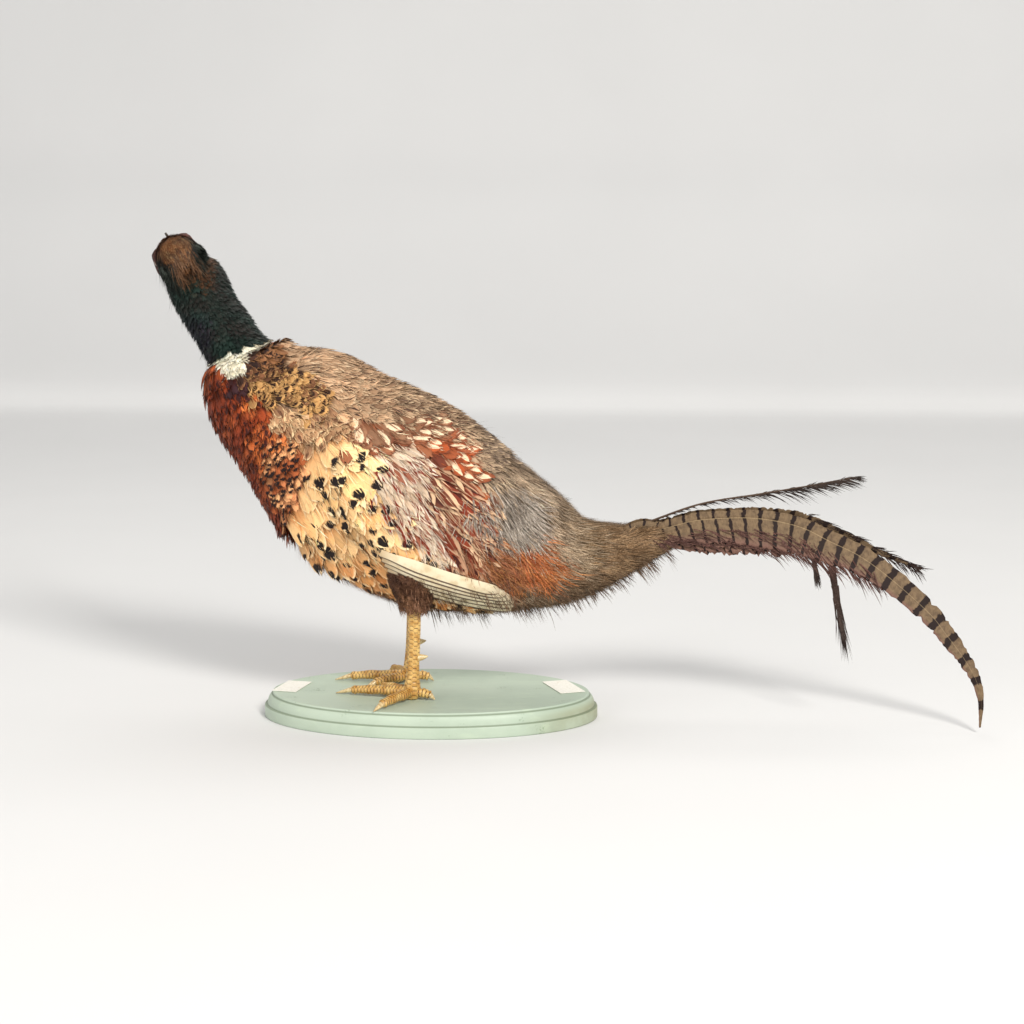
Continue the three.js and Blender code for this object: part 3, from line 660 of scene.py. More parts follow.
def bake_patches(u, v, uv):
    """The map OFBake: each feather a small square about its root, on an unwrap by u and v."""
    def spread(values):
        low, high = values.min(), values.max()
        return 0.03 + 0.94 * (values - low) / max(high - low, 1e-6)

    centre = joined(spread(u), spread(v))[:, None]
    return centre + (np.clip(uv, 0, 1) - 0.5)[..., ::-1] * PATCH


def lay_feathers(name, surface, u, v, toward, template, sink, colours, slot, material, replaces=()):
    """A template's feathers laid over a surface, one at each root, and joined to one piece."""
    along, across, height, uv, quads, triangles = template
    count, each = along.shape
    new_piece(
        "coat_" + name, hug(surface, u, v, toward, along, across, height + sink),
        copies(quads, each, count), copies(triangles, each, count), slot=slot, replaces=replaces,
        material=material, colours=colours, uvs={"Vane": uv, "OFBake": bake_patches(u, v, uv)})


# ---- plumage map


def oval(x, z, centre_x, centre_z, long, tall, fall):
    """How far out of an oval, seen from the side, a place is: 1 on its edge. Its long way falls
    towards the tail by an angle in degrees."""
    cos, sin = math.cos(math.radians(fall)), -math.sin(math.radians(fall))
    dx, dz = x - centre_x, z - centre_z
    return np.hypot((dx * cos + dz * sin) / long, (dz * cos - dx * sin) / tall)


RING_LINE = (-166.6, 295.6, 0.39, -0.921)  # a point of the green's lower edge and the way down


def plumage_at(place, v, draw):
    """Which plumage grows at each place. Each patch has its own edge in the side view, roughened
    at random, and later ones lie over earlier ones."""
    x, z = place[..., 0], place[..., 2]
    rough = draw.normal(0, 1, x.shape)
    round_v = np.degrees(np.minimum(v, TURN - v))
    names = np.full(x.shape, "flank", dtype="U16")

    def lay(name, where):
        names[where] = name

    chest_edge = np.interp(
        z, [160, 176, 190, 205, 228, 252, 284], [-130, -118, -112, -107, -105, -111, -124])
    past = x - chest_edge + 3 * rough
    top = 3 * rough + np.interp(
        x, [-130, -77, -35, 0, 22, 37, 46, 54], [262, 254, 253, 252, 234, 210, 184, 150])
    lay("back", z > top)
    lay("chest", (past < 0) & (z > 168 + 6 * rough))
    reach = 32 + 34 * smooth((214 - z) / 30)
    lay("lower_chest", (past < 7) & (past > 7 - reach) & (np.abs(z - 197 - 4 * rough) < 38))
    lay("belly", (round_v > 158 + 4 * rough) & (x > -112))
    wing_edge = np.interp(z, [138, 150, 165, 185, 200, 222, 245], [4, 0, -12, -30, -40, -48, -62])
    wing = (x > wing_edge + 2 * rough) & (z < top) & (z > np.interp(x, [-20, 60], [132, 104]))
    lay("tertials", wing)
    lay("wing_coverts", wing & (x < -12 + (224 - z) * 0.25 + 4 * rough))
    lower = np.interp(x, [-75, -48, -23, 3, 30], [232, 234, 240, 226, 206]) + 4 * rough
    lay("scapulars", wing & (z > lower))
    lay("shoulder", ~wing & (past > 0) & (z < top) & (z > 240 + 3 * rough))
    lay("shoulder", oval(x, z, -100, 250, 27, 14, 26) + 0.14 * rough < 1)
    side_edge = np.interp(z, [90, 140, 190, 230, 262], [38, 44, 46, 56, 84]) + 4 * rough
    lay("rump", x > side_edge)
    lay("rust", oval(x, z, 60, 144, 34, 22, 22) + 0.14 * rough < 1)
    lay("saddle", oval(x, z, 61, 180, 26, 20, 34) + 0.12 * rough < 1)
    lay("rear", (x > 34) & (z < np.interp(x, [34, 60, 110, 150], [104, 98, 118, 128]) + 3 * rough))
    lay("rear", (x > 96 + 4 * rough) & (round_v > 105))
    lay("coverts", x > 118 + 5 * rough - 0.2 * (z - 150))
    lay("", (x > 163) & (round_v < 55))
    lay("mantle", oval(x, z, -114, 274, 38, 14, 24) + 0.18 * rough < 1)
    lay("mantle", oval(x, z, -128, 283, 24, 17, 45) + 0.14 * rough < 1)
    lay("mantle_dark", oval(x, z, -133, 297, 20, 10, 28) + 0.18 * rough < 1)
    down = (x - RING_LINE[0]) * RING_LINE[2] + (z - RING_LINE[1]) * RING_LINE[3] + 0.5 * rough
    ring = 4.6 + 11.5 * smooth((-141 - x) / 4)
    lay("ring", (down < ring) & (x < -100))
    lay("chest", (down > 1.5) & (x < -160 - (z - 278.5) * 0.36 + rough))
    lay("neck", (down < 0) & (x < -100))
    return names


def falling(angle):
    """The way towards the tail at an angle below the level, seen from the side."""
    return joined(np.cos(angle), 0.0, -np.sin(angle))


def lie_of(name, place, draw):
    """The way each feather points, seen from the side; the surface then presses it flat."""
    x, z = place[..., 0], place[..., 2]
    lie, spread = PLUMAGE[name]["lie"], PLUMAGE[name]["spread"]
    angle = lie(x, z) if callable(lie) else lie
    return falling(np.radians(angle + spread * draw.normal(0, 0.5, x.shape)))


def patchy(place, draw, size):
    """Soft patches from 0 to 1: five sine waves of random ways across the bird."""
    waves = draw.normal(0, 0.6, (5, 3)) * TURN / size
    return smooth(0.5 + 0.24 * np.sin(place @ waves.T + draw.uniform(0, TURN, 5)).sum(-1))


def ground_of(name, place, draw):
    """The ground colour of each feather: between the plumage's two, in patches and at random, with shades
    of its own on some parts of the bird, and a painted violet sheen on the lower front of the neck."""
    x, y, z = place[..., 0], place[..., 1], place[..., 2]
    share = 0.55 * patchy(place, draw, 26) + 0.45 * draw.random(x.shape)
    if name in ("mantle", "mantle_dark", "back", "shoulder", "rump", "chest", "lower_chest"):
        share = smooth((share - 0.28) / 0.44)
    colour = blend(*PLUMAGE[name]["ground"], share)

    def tint(red, green, blue, amount):
        colour[:] = blend(colour, paint(red, green, blue), amount)

    if name == "neck":
        tint(52, 42, 40, 0.7 * patchy(place, draw, 30))
        # painted sheen: the neck's iridescence as a violet tint on its lower front
        tint(44, 38, 54, 0.7 * smooth((-168 - x) / 10) * smooth((338 - z) / 24))
        nape = (z - 352.4 + 0.37 * (x + 192.6) + draw.normal(0, 4, x.shape)) / 6
        nape = smooth(nape) * smooth((x + 196) / 6) * smooth((-168 - x) / 8)
        tint(84, 56, 37, 0.9 * nape * (y < 6))
    if name == "ring":
        tint(214, 190, 144, 0.9 * smooth((x + 142) / 8) * draw.random(x.shape))
    if name == "chest":
        front = -171.3 + (277 - z) * 0.472
        across = (x - front) / (-122 + (276.9 - z) * 0.2 - front)
        tint(128, 54, 30, 0.8 * smooth((0.42 - across) / 0.34))
        tint(214, 134, 76, 0.7 * smooth((across - 0.5) / 0.5) * smooth((262 - z) / 40))
        tint(36, 31, 42, 0.9 * (oval(x, z, -152, 276, 8, 6, 0) < 1))
    if name == "flank":
        tint(192, 116, 56, 0.9 * smooth((170 - z) / 36) * draw.uniform(0.3, 1, x.shape))
    if name == "scapulars":
        tint(140, 108, 82, 0.8 * smooth((z - 228) / 16))
    if name == "belly":
        tint(150, 100, 58, 0.6 * smooth((-40 - x) / 40))
    if name == "rump":
        tint(150, 124, 90, 0.8 * smooth((x - 84) / 30))
    if name == "tertials":
        tint(128, 102, 82, 0.7 * smooth((x - 20) / 18) * draw.random(x.shape))
    if name == "wing_coverts":
        brown = draw.random(x.shape) < np.interp(x, [-40, -10, 20], [0, 0.16, 0.4])
        tint(146, 72, 46, 0.9 * brown)
    if name == "back":
        tint(196, 156, 104, 0.6 * smooth((-62 - x) / 30) * smooth((280 - z) / 20))
        tint(222, 178, 138, 0.4 * smooth((-24 - x) / 30))
        tint(146, 132, 116, 0.5 * smooth((x - 10) / 40))
    if name == "rust":
        tint(124, 70, 42, 0.7 * (patchy(place, draw, 34) > 0.76))
    colour *= draw.normal(1, 0.15, x.shape)[..., None]
    colour[..., 3] = draw.random(x.shape)
    return np.clip(colour, 0, 1)


# ---- materials


class Wiring:
    """Short words for the nodes and links of one tree."""

    def __init__(self, tree, material=None):
        self.tree, self.material = tree, material

    def node(self, kind, inputs=(), **settings):
        """A new node with settings, and values or links put on its inputs."""
        node = self.tree.nodes.new("ShaderNode" + kind)
        for key, value in settings.items():
            setattr(node, key, value)
        for key, value in dict(inputs).items():
            self.put(value, node.inputs[key])
        return node

    def put(self, value, socket):
        """A link from a socket, or a value, on a socket."""
        if isinstance(value, bpy.types.NodeSocket):
            self.tree.links.new(value, socket)
        elif value is not None:
            socket.default_value = value if isinstance(value, (int, float)) else tuple(value)

    def math(self, operation, first, second=None, clamp=False):
        return self.node("Math", {0: first, 1: second}, operation=operation, use_clamp=clamp).outputs[0]

    def times(self, first, second):
        return self.math("MULTIPLY", first, second)

    def plus(self, first, second):
        return self.math("ADD", first, second)

    def minus(self, first, second):
        return self.math("SUBTRACT", first, second)

    def size(self, value):
        return self.math("ABSOLUTE", value)

    def step(self, value, low, high, start=0.0, end=1.0):
        """A smooth step of value from low to high, from start to end."""
        return self.node("MapRange", enumerate((value, low, high, start, end)),
                         interpolation_type="SMOOTHSTEP").outputs[0]

    def mix(self, share, first, second, blend_type="MIX"):
        return self.node("Mix", {0: share, 6: first, 7: second}, data_type="RGBA",
                         blend_type=blend_type).outputs[2]

    def times_colour(self, colour, *other):
        return self.mix(1.0, colour, (*other, 1), "MULTIPLY")

    def stain(self, colour, value, low, high, other, most=1.0):
        """A colour that turns to another, up to a share, as a value steps from low to high."""
        return self.mix(self.step(value, low, high, 0.0, most), colour, paint(*other))

    def noise(self, scale, detail, stretch=(1, 1, 1), vector=None):
        """Noise over the object, stretched, or over a vector."""
        vector = vector or self.node("TexCoord").outputs["Object"]
        place = self.node("Mapping", {"Vector": vector, "Scale": stretch}).outputs[0]
        return self.node("TexNoise", {
            "Vector": place, "Scale": scale, "Detail": detail, "Roughness": 0.55}).outputs["Fac"]

    def colour(self, name):
        return self.node("Attribute", attribute_name=name).outputs["Color"]

    def uv(self, name):
        """The two ways of a UV map."""
        place = self.node("UVMap", uv_map=name).outputs[0]
        return self.node("SeparateXYZ", {0: place}).outputs[:2]

    def finish(self, colour, height=None, strength=0.0, distance=0.0):
        """The material, its shader given a colour and the normal of a bump by a height."""
        shader = self.tree.nodes["Principled BSDF"]
        self.put(colour, shader.inputs["Base Color"])
        if height is not None:
            bump = self.node("Bump", {"Strength": strength, "Distance": distance, "Height": height})
            self.put(bump.outputs[0], shader.inputs["Normal"])
        return self.material


def new_material(name, **sockets):
    """The wiring of a new material, with uniform numbers on its shader's own sockets."""
    material = bpy.data.materials.new(name)
    material.use_nodes = True
    shader = material.node_tree.nodes["Principled BSDF"]
    for key, value in sockets.items():
        shader.inputs[key.replace("_", " ")].default_value = value
    return Wiring(material.node_tree, material)


def new_group(name, inputs, outputs):
    """An empty shader node group with named sockets. Inputs are (name, kind, default)."""
    group = bpy.data.node_groups.new(name, "ShaderNodeTree")
    for label, kind, default in inputs:
        socket = group.interface.new_socket(label, in_out="INPUT", socket_type=kind)
        socket.default_value = default
    for label, kind in outputs:
        group.interface.new_socket(label, in_out="OUTPUT", socket_type=kind)
    given, out = (group.nodes.new("NodeGroup" + way) for way in ("Input", "Output"))
    return group, Wiring(group), given.outputs, out.inputs


WHITE = (1.0, 1.0, 1.0, 1.0)


@functools.cache
def barb_group():
    """Tone of loose barbs: fine light and dark flecks over a ground colour, and their height."""
    group, wires, given, out = new_group(
        "Barb tone", [("Ground", "NodeSocketColor", WHITE), ("Fleck", "NodeSocketFloat", 0.3)],
        [("Color", "NodeSocketColor"), ("Height", "NodeSocketFloat")])
    fine, broad = wires.noise(900, 2), wires.noise(90, 3)
    tone = wires.plus(wires.times(fine, 0.6), wires.times(broad, 0.4))
    dark = wires.times_colour(given["Ground"], 0.42, 0.38, 0.35)
    light = wires.mix(given["Fleck"], given["Ground"], (0.92, 0.84, 0.72, 1))
    wires.put(wires.mix(wires.step(tone, 0.36, 0.66), dark, light), out["Color"])
    wires.put(fine, out["Height"])
    return group


@functools.cache
def vane_group():
    """Marks of a closed vane, from its own map: a margin, an oval mark on the shaft, a darker root,
    partly the feather's own base and partly painted shade where the feathers overlap, and streaks along
    its slanting barbs. Seed gives every feather its own roughness."""
    colour, number = "NodeSocketColor", "NodeSocketFloat"
    group, wires, given, out = new_group(
        "Vane marks",
        [(name, colour, WHITE) for name in ("Ground", "Margin", "Mark", "Root")] +
        [("Seed", number, 0.0), ("Edge", number, 0.15), ("Place", number, 0.8),
         ("Length", number, 0.1), ("Width", number, 0.3), ("Lopsided", number, 0.0)],
        [("Color", colour), ("Height", number)])
    times, plus, minus = wires.times, wires.plus, wires.minus
    along, around = wires.uv("Vane")
    across = minus(times(around, 2.0), 1.0)
    side = wires.size(across)
    seed = times(given["Seed"], 90.0)

    def grain(*parts):
        return wires.noise(1, 3, vector=wires.node("CombineXYZ", enumerate(parts)).outputs[0])

    rough = minus(grain(times(along, 7.0), times(across, 3.0), seed), 0.5)
    slant = minus(along, times(side, 0.34))
    streak = grain(times(slant, 34.0), times(across, 1.6), seed)
    tip = wires.math("MULTIPLY", minus(along, 0.58), 2.38, clamp=True)
    bent = wires.size(plus(across, given["Lopsided"]))
    reach = plus(wires.math("SQRT", plus(times(tip, tip), times(bent, bent))), times(rough, 0.6))
    edge = minus(1.0, given["Edge"])
    margin = wires.step(reach, minus(edge, 0.08), plus(edge, 0.14))
    place = plus(given["Place"], times(minus(given["Seed"], 0.5), 0.1))
    ahead = wires.math("DIVIDE", minus(along, place), given["Length"])
    beside = wires.math("DIVIDE", side, given["Width"])
    away = plus(plus(times(ahead, ahead), times(beside, beside)), times(rough, 1.8))
    # darker towards the root: the feather's own base, and painted shade under the feathers above
    tone = wires.mix(wires.step(along, 0.55, 0.2), given["Ground"], given["Root"])
    tone = wires.mix(margin, tone, given["Margin"])
    tone = wires.mix(wires.step(away, 0.65, 1.2, 1, 0), tone, given["Mark"])
    dark = wires.times_colour(tone, 0.5, 0.44, 0.4)
    tone = wires.mix(wires.step(streak, 0.48, 0.28, 0, 0.6), tone, dark)
    pale = wires.times_colour(tone, 1.4, 1.33, 1.24)
    wires.put(wires.mix(wires.step(streak, 0.55, 0.75, 0, 0.7), tone, pale), out["Color"])
    wires.put(streak, out["Height"])
    return group


def tuft_finish(name, fleck=0.06, roughness=0.75):
    """Loose barbs: the colour along each barb comes from the mesh."""
    wires = new_material(f"{name} barbs", Roughness=roughness, Specular_IOR_Level=0.22)
    values = {"Ground": wires.colour("ground"), "Fleck": fleck}
    group = wires.node("Group", values, node_tree=barb_group()).outputs
    return wires.finish(group["Color"], group["Height"], 0.25, 0.0003)


def vane_finish(name):
    """Closed vanes: the marks' colours come from the mesh and their shapes from the group."""
    plan = PLUMAGE[name]
    wires = new_material(f"{name} vanes", Roughness=plan["gloss"], Specular_IOR_Level=0.22)
    place, long, wide = plan["spot"]
    ground = wires.node("Attribute", attribute_name="ground").outputs
    values = dict(
        Ground=ground["Color"], Seed=ground["Alpha"], Margin=wires.colour("margin"),
        Mark=wires.colour("mark"), Root=wires.colour("rootward"), Edge=plan["edge"], Place=place,
        Length=long, Width=wide, Lopsided=0.3 if name in LOPSIDED else 0.0)
    group = wires.node("Group", values, node_tree=vane_group()).outputs
    return wires.finish(group["Color"], group["Height"], 0.4, 0.0003)


def vane_colours(name, ground, draw):
    """The colours of each feather. One without a mark has its ground's colour there."""
    plan = PLUMAGE[name]
    count = len(ground)
    margin = blend(ground, plan["margin"], draw.uniform(0.35, 1, count))
    mark = blend(ground, plan["mark"], draw.random(count) < plan["marked"])
    # the rootward colour is darker partly as painted shade where the feathers overlap
    root = blend(ground, plan["root"], draw.uniform(0.5, 1, count))
    return {"ground": ground, "margin": margin, "mark": mark, "rootward": root}


# ---- the coat


@functools.cache
def body_surface():
    """The trunk and neck, from nape to tail."""
    return Surface(body_point, 0.0, len(BODY) - 1.0)


@functools.cache
def head_surface():
    """The head, from its back to the bill's root."""
    return Surface(head_point, 0.0, len(HEAD) - 1.0, 120, 120)


ROOT_DEPTH = 3.0  # how far under the coat's outline a feather starts
OVER_VANE = 0.6  # how far a vane's loose barbs stand over it
LOOSE_BREAST = 9.0  # how much further feathers at the foot of the breast stand out


def barb_colours(ground, root, tip, share, draw):
    """Colour along loose barbs: dark at the root, partly as the barb's own colour and partly as painted
    shade where the feathers overlap, and pale at the tip on some of them.
    """
    count, each = share.shape
    barbs = (count, each // BARB_POINTS)
    # darker towards the root: partly the barb's own colour, partly painted shade under the feathers above
    colour = blend(ground[:, None], root, 0.8 * (1 - smooth(share / 0.45)))
    pale = per_barb(draw.random(barbs) ** 2)
    colour = blend(colour, tip, smooth((share - 0.4) / 0.6) * pale)
    return shaded(colour, per_barb(draw.normal(1, 0.26, (*barbs, 1))))


COAT_SLOTS = {
    "neck_green": ("neck", "ring"), "copper": ("chest", "lower_chest", "flank"),
    "back_brown": ("mantle", "mantle_dark", "shoulder", "back"), "thigh": ("belly",),
    "rump_olive": ("rump", "saddle", "rust", "rear", "coverts"),
    "wing": ("scapulars", "wing_coverts", "tertials"),
}


def make_body_coat(name):
    """One plumage on the trunk and neck: tufts in one joined mesh, or closed vanes in one and
    loose barbs with the same marks over them in another, so that edges and spots are frayed."""
    surface = body_surface()
    plan = PLUMAGE[name]
    draw = random("roots " + name)
    u, v = surface.roots(plan["space"], draw)
    place = surface.sample(u, v)[0]
    mine = plumage_at(place, v, draw) == name
    u, v, place = u[mine], v[mine], place[mine]
    toward = lie_of(name, place, draw)
    draw = random("coat " + name)
    count = len(u)
    long, wide = plan["long"], plan["wide"]
    loose = smooth((-66 - place[..., 0]) / 30) * smooth((182 - place[..., 2]) / 26)
    stand = ROOT_DEPTH + LOOSE_BREAST * loose * draw.uniform(0.3, 1, count) + plan["stand"]
    ground = ground_of(name, place, draw)
    sink = draw.uniform(-0.3, 0.3, (count, 1)) - ROOT_DEPTH
    slot = next(slot for slot, names in COAT_SLOTS.items() if name in names)
    replaces = ("wing_left", "wing_right") if name == "wing_coverts" else ()

    def lay(label, template, colours, material, covers=()):
        lay_feathers(label, surface, u, v, toward, template, sink, colours, slot, material, covers)

    if plan["shape"] == "tuft":
        template = tuft_template(count, long, wide, stand, draw, plan["barbs"])
        colour = barb_colours(ground, plan["root"], plan["tip"], template[3][..., 0], draw)
        return lay(name, template, {"ground": colour}, tuft_finish(name), replaces)
    marks = vane_colours(name, ground, draw)
    material = vane_finish(name)

    def layers(template, rough=0.0, each=1):
        points = template[3].shape[1]
        shade = np.repeat(draw.normal(1, rough, (count, points // each, 1)), each, axis=1)
        return {key: shaded(value[:, None], shade) for key, value in marks.items()}

    fray = 0.34 - 0.24 * plan["marked"]
    template = vane_template(count, long * 0.96, wide, stand, draw, fray)
    lay(name, template, layers(template), material, replaces)
    template = tuft_template(count, long * 1.06, wide, stand + OVER_VANE, draw, plan["barbs"])
    lay(name + "_barbs", template, layers(template, 0.2, BARB_POINTS), material)


# ---- the skin


def sample_colours(points):
    """The root colour nearest to each point of the skin, from a coarse set of places on the
    trunk and the head."""
    surface = body_surface()
    u, v = surface.roots(7.0, random("skin"))
    place = surface.sample(u, v)[0]
    names = plumage_at(place, v, random("skin names"))
    known = np.zeros((len(u), 4))
    for name in PLUMAGE:
        here = names == name
        known[here] = blend(np.mean(PLUMAGE[name]["ground"], axis=0), PLUMAGE[name]["root"], 0.5)
    head_u, head_v = head_surface().roots(7.0, random("skin head"))
    place = np.concatenate([place, head_surface().sample(head_u, head_v)[0]])
    known = np.concatenate([known, np.tile(paint(58, 42, 32), (len(head_u), 1))])
    blocks = np.array_split(points, len(points) // 2000 + 1)
    nearest = [((part[:, None] - place) ** 2).sum(-1).argmin(axis=1) for part in blocks]
    return known[np.concatenate(nearest)]


def make_skin():
    """Closed lofts of trunk, head and thighs, drawn in by the coat's depth, melted into one
    skin by a voxel remesh and smoothed."""
    depth = sizes().coat_depth / MM
    u = np.linspace(0, len(BODY) - 1, 120)[:, None]
    v = np.linspace(0, TURN, 64, endpoint=False)[None]
    inset = -depth - 3.5 * smooth((u - 12) / 2)
    shells = [closed_tube(body_point(u, v, inset))]
    head_u = np.linspace(0, len(HEAD) - 1, 40)[:, None]
    shells.append(closed_tube(head_point(head_u, v, -1.6)))
    thigh_u = np.linspace(0, 0.84, 24)[:, None]
    shells += [closed_tube(thigh_point(foot)(thigh_u, v, -3.0)) for foot in FEET.values()]
    points, quads, triangles = zip(*shells)
    starts = np.cumsum([0] + [len(part) for part in points])
    rough = new_piece("skin_rough", np.concatenate(points), *(
        np.concatenate([part + start for part, start in zip(faces, starts)])
        for faces in (quads, triangles)))
    face_outward(rough)
    remesh = rough.modifiers.new("Melt", "REMESH")
    remesh.mode = "VOXEL"
    remesh.voxel_size = 0.0024
    relax = rough.modifiers.new("Relax", "SMOOTH")
    relax.iterations = 4
    graph = bpy.context.evaluated_depsgraph_get()
    mesh = bpy.data.meshes.new_from_object(rough.evaluated_get(graph))
    bpy.data.objects.remove(rough)
    mesh.name = "skin"
    flat = np.zeros(len(mesh.vertices) * 3, np.float32)
    mesh.vertices.foreach_get("co", flat)
    colour_points(mesh, "ground", sample_colours(flat.reshape(-1, 3) / MM - BIRD_AT))
    mesh.materials.append(tuft_finish("skin", fleck=0.1, roughness=0.85))
    finish_piece(placed("skin", mesh), (
        "neck", "breast", "trunk", "rump", "tail_coverts", "head", "thigh_left", "thigh_right"))


# ---- loose strands


def strands(name, roots, ways, lengths, width, face, droop, root, tip, slot, draw,
            replaces=(), fleck=0.03, along_map=None):
    """Free barbs in the air: each runs from a root along its way, droops and tapers to a point.
    face is the way its flat side looks, and root and tip are the colours of its ends."""
    count = len(roots)
    steps = np.array([0, 0, 0.3, 0.3, 0.66, 0.66, 1.0])
    edge = np.array([-1, 1, -1, 1, -0.75, 0.75, 0])
    ways = unit(ways)
    across = unit(np.cross(ways, face))
    points = roots[:, None] + ways[:, None] * (lengths[:, None] * steps)[..., None]
    wave = draw.normal(0, 0.05, (count, 1)) * lengths[:, None] * steps**2
    points = points + across[:, None] * (edge * width / 2 + wave)[..., None]
    points[..., 2] -= np.broadcast_to(droop, count)[:, None] * lengths[:, None] * steps**2
    shade = draw.normal(1, 0.1, (count, 1, 1))
    colour = shaded(blend(root, tip, np.broadcast_to(smooth(steps), (count, BARB_POINTS))), shade)
    order = np.linspace(0, 1, count) if along_map is None else along_map
    uv = joined(steps + np.zeros((count, 1)), 0.5 + edge / 2)
    new_piece(
        name, points, copies(BARB_QUADS, BARB_POINTS, count), copies(BARB_TRIANGLES, BARB_POINTS, count),
        slot=slot, replaces=replaces, material=tuft_finish(name, fleck), colours={"ground": colour},
        uvs={"Vane": uv, "OFBake": bake_patches(order, draw.random(count), uv)})


def make_fringe():
    """Wisps in clumps that stand out under the belly and rear, and a few at back and throat."""
    surface = body_surface()
    draw = random("fringe")
    u, v = surface.roots(6.0, draw)
    place, _, _, normal = surface.sample(u, v)
    round_v = np.degrees(np.minimum(v, TURN - v))
    patches = patchy(place, draw, 22)
    keep = (round_v > 122) & (u > 9.2) & (draw.random(len(u)) < 0.2 + 0.6 * patches)
    keep |= (round_v > 120) & (u < 4.4) & (draw.random(len(u)) < 0.8)
    keep |= (round_v < 30) & (u > 4.5) & (draw.random(len(u)) < 0.2)
    u, place, normal, patches = u[keep], place[keep], normal[keep], patches[keep]
    each = 9
    clump = draw.normal(0, 14, len(u)), draw.uniform(0.5, 1.15, len(u)) * (0.5 + 0.7 * patches)
    place, normal, turn, size = (np.repeat(part, each, axis=0) for part in (place, normal, *clump))
    under = np.repeat(u > 9, each)
    count = len(place)
    roots = place - normal * 2.0 + draw.normal(0, 1.3, (count, 3))
    angle = np.radians(np.where(under, 38, 50) + turn + draw.normal(0, 9, count))
    ways = falling(angle)
    out = np.where(under, 0.4, 0.22)[:, None] * draw.uniform(0.2, 1.2, (count, 1))
    ways = ways * (1 - out) + normal * out + draw.normal(0, 0.1, (count, 3))
    lengths = np.where(under, 15.0, 12.0) * size * draw.uniform(0.6, 1.05, count)
    dark, brown = paint(18, 26, 24), paint(112, 86, 64)
    tint = np.where((place[:, 0] < -140)[:, None, None], dark, brown)
    strands(
        "coat_fringe", roots, ways, lengths, 0.42, normal + 0.2, 0.16, tint,
        tint * [0.7, 0.66, 0.62, 1], "rump_olive", draw)


# ---- the head


def make_head_coat():
    """Crown and cheeks: short tufts that run back from the bill, bronze on the crown and
    green-black below, and none on the bare face."""
    surface = head_surface()
    draw = random("head")
    u, v = surface.roots(2.5, draw)
    place = surface.sample(u, v)[0]
    local = (place - HEAD_CENTRE) @ HEAD_FRAME.T
    bare = np.hypot(local[:, 0] - WATTLE["forward"], local[:, 2] - WATTLE["up"] + 1) / 12.5
    keep = ~((bare < 1) & (np.abs(local[:, 1]) > 8)) & (local[:, 0] < 24)
    u, v, place, local = u[keep], v[keep], place[keep], local[keep]
    count = len(u)
    back = -HEAD_FRAME[0] - 0.7 * HEAD_FRAME[2] + draw.normal(0, 0.16, (count, 3))
    size = np.interp(local[:, 0], [-24, 10, 25], [11, 8.0, 3.8])
    edge = np.interp(local[:, 0], [-24, -8, 2, 25], [-26, -12, 5, 8]) + draw.normal(0, 2, count)
    crown = smooth((local[:, 2] - edge) / 4) * smooth((15.5 - np.abs(local[:, 1])) / 4)
    bronze = blend(paint(120, 70, 40), paint(184, 122, 70), draw.random(count))
    bronze = blend(bronze, paint(56, 40, 30), 0.6 * patchy(place, draw, 14))
    green = blend(paint(13, 18, 17), paint(26, 42, 36), draw.random(count))
    ground = blend(green, bronze, crown)
    template = tuft_template(count, size, 3.4, 2.0, draw, 8)
    share = template[3][..., 0]
    tip = blend(paint(36, 60, 50), paint(206, 168, 118), crown)[:, None]
    pale = per_barb(draw.random((count, share.shape[1] // BARB_POINTS)) ** 3)
    # darker towards the root: partly the tuft's own colour, partly painted shade under the tufts above
    colour = blend(ground[:, None] * [0.55, 0.5, 0.5, 1], ground[:, None], smooth(share / 0.5))
    colour = blend(colour, tip, smooth((share - 0.3) / 0.5) * pale)
    lay_feathers(
        "head", surface, u, v, back, template, -1.2, {"ground": colour}, "crown",
        tuft_finish("head", fleck=0.02, roughness=0.6))


def make_nape():
    """Longer feathers from the head down over the neck, and one broken quill on the brow."""
    draw = random("nape")
    u, v = head_surface().roots(2.0, draw)
    place, _, _, normal = head_surface().sample(u, v)
    local = (place - HEAD_CENTRE) @ HEAD_FRAME.T
    keep = (local[:, 0] < 3) & (local[:, 2] < 9) & (local[:, 2] > -22)
    each = 4
    place, normal, local = (np.repeat(part[keep], each, axis=0) for part in (place, normal, local))
    count = len(place)
    ways = NECK_WAY + 0.3 * normal * draw.uniform(0.2, 1, (count, 1)) + draw.normal(0, 0.12, (count, 3))
    roots = place - 1.5 * normal + draw.normal(0, 0.8, (count, 3))
    lengths = draw.uniform(9, 19, count)
    bronze = smooth((11 - np.abs(local[:, 1] + draw.normal(0, 2, count))) / 4)
    bronze = bronze * smooth((local[:, 2] + 20 + draw.normal(0, 3, count)) / 6)
    root = blend(paint(12, 16, 15), paint(76, 50, 34), bronze)
    tip = blend(paint(26, 42, 36), paint(132, 92, 60), bronze)
    strands(
        "coat_nape", roots, ways, lengths, 0.8, normal + 0.01, 0.05, root[:, None], tip[:, None],
        "neck_green", draw)
    line = np.linspace([-205.4, 12, 381.0], [-210.4, 12, 388.6], 6)
    solid_tube(
        "brow_quill", tube_rings(line, [1.3, 1.2, 1.1, 1.1, 1.0, 0.8], 10), slot="crown",
        material=tuft_finish("quill"), colours={"ground": paint(58, 50, 42)})


def ellipsoid_grid(rows, columns):
    """Unit vectors by rows from pole to pole and columns round the first axis."""
    a, b = np.meshgrid(
        np.linspace(0.02, math.pi - 0.02, rows), np.arange(columns) * TURN / columns, indexing="ij")
    return joined(np.cos(a), np.sin(a) * np.cos(b), np.sin(a) * np.sin(b))


def about(part, side, forward, left, up):
    """Points given from the middle of an eye or a wattle, on the side where side is 1 or -1."""
    return in_head(part["forward"] + forward, side * (part["side"] + left), part["up"] + up)


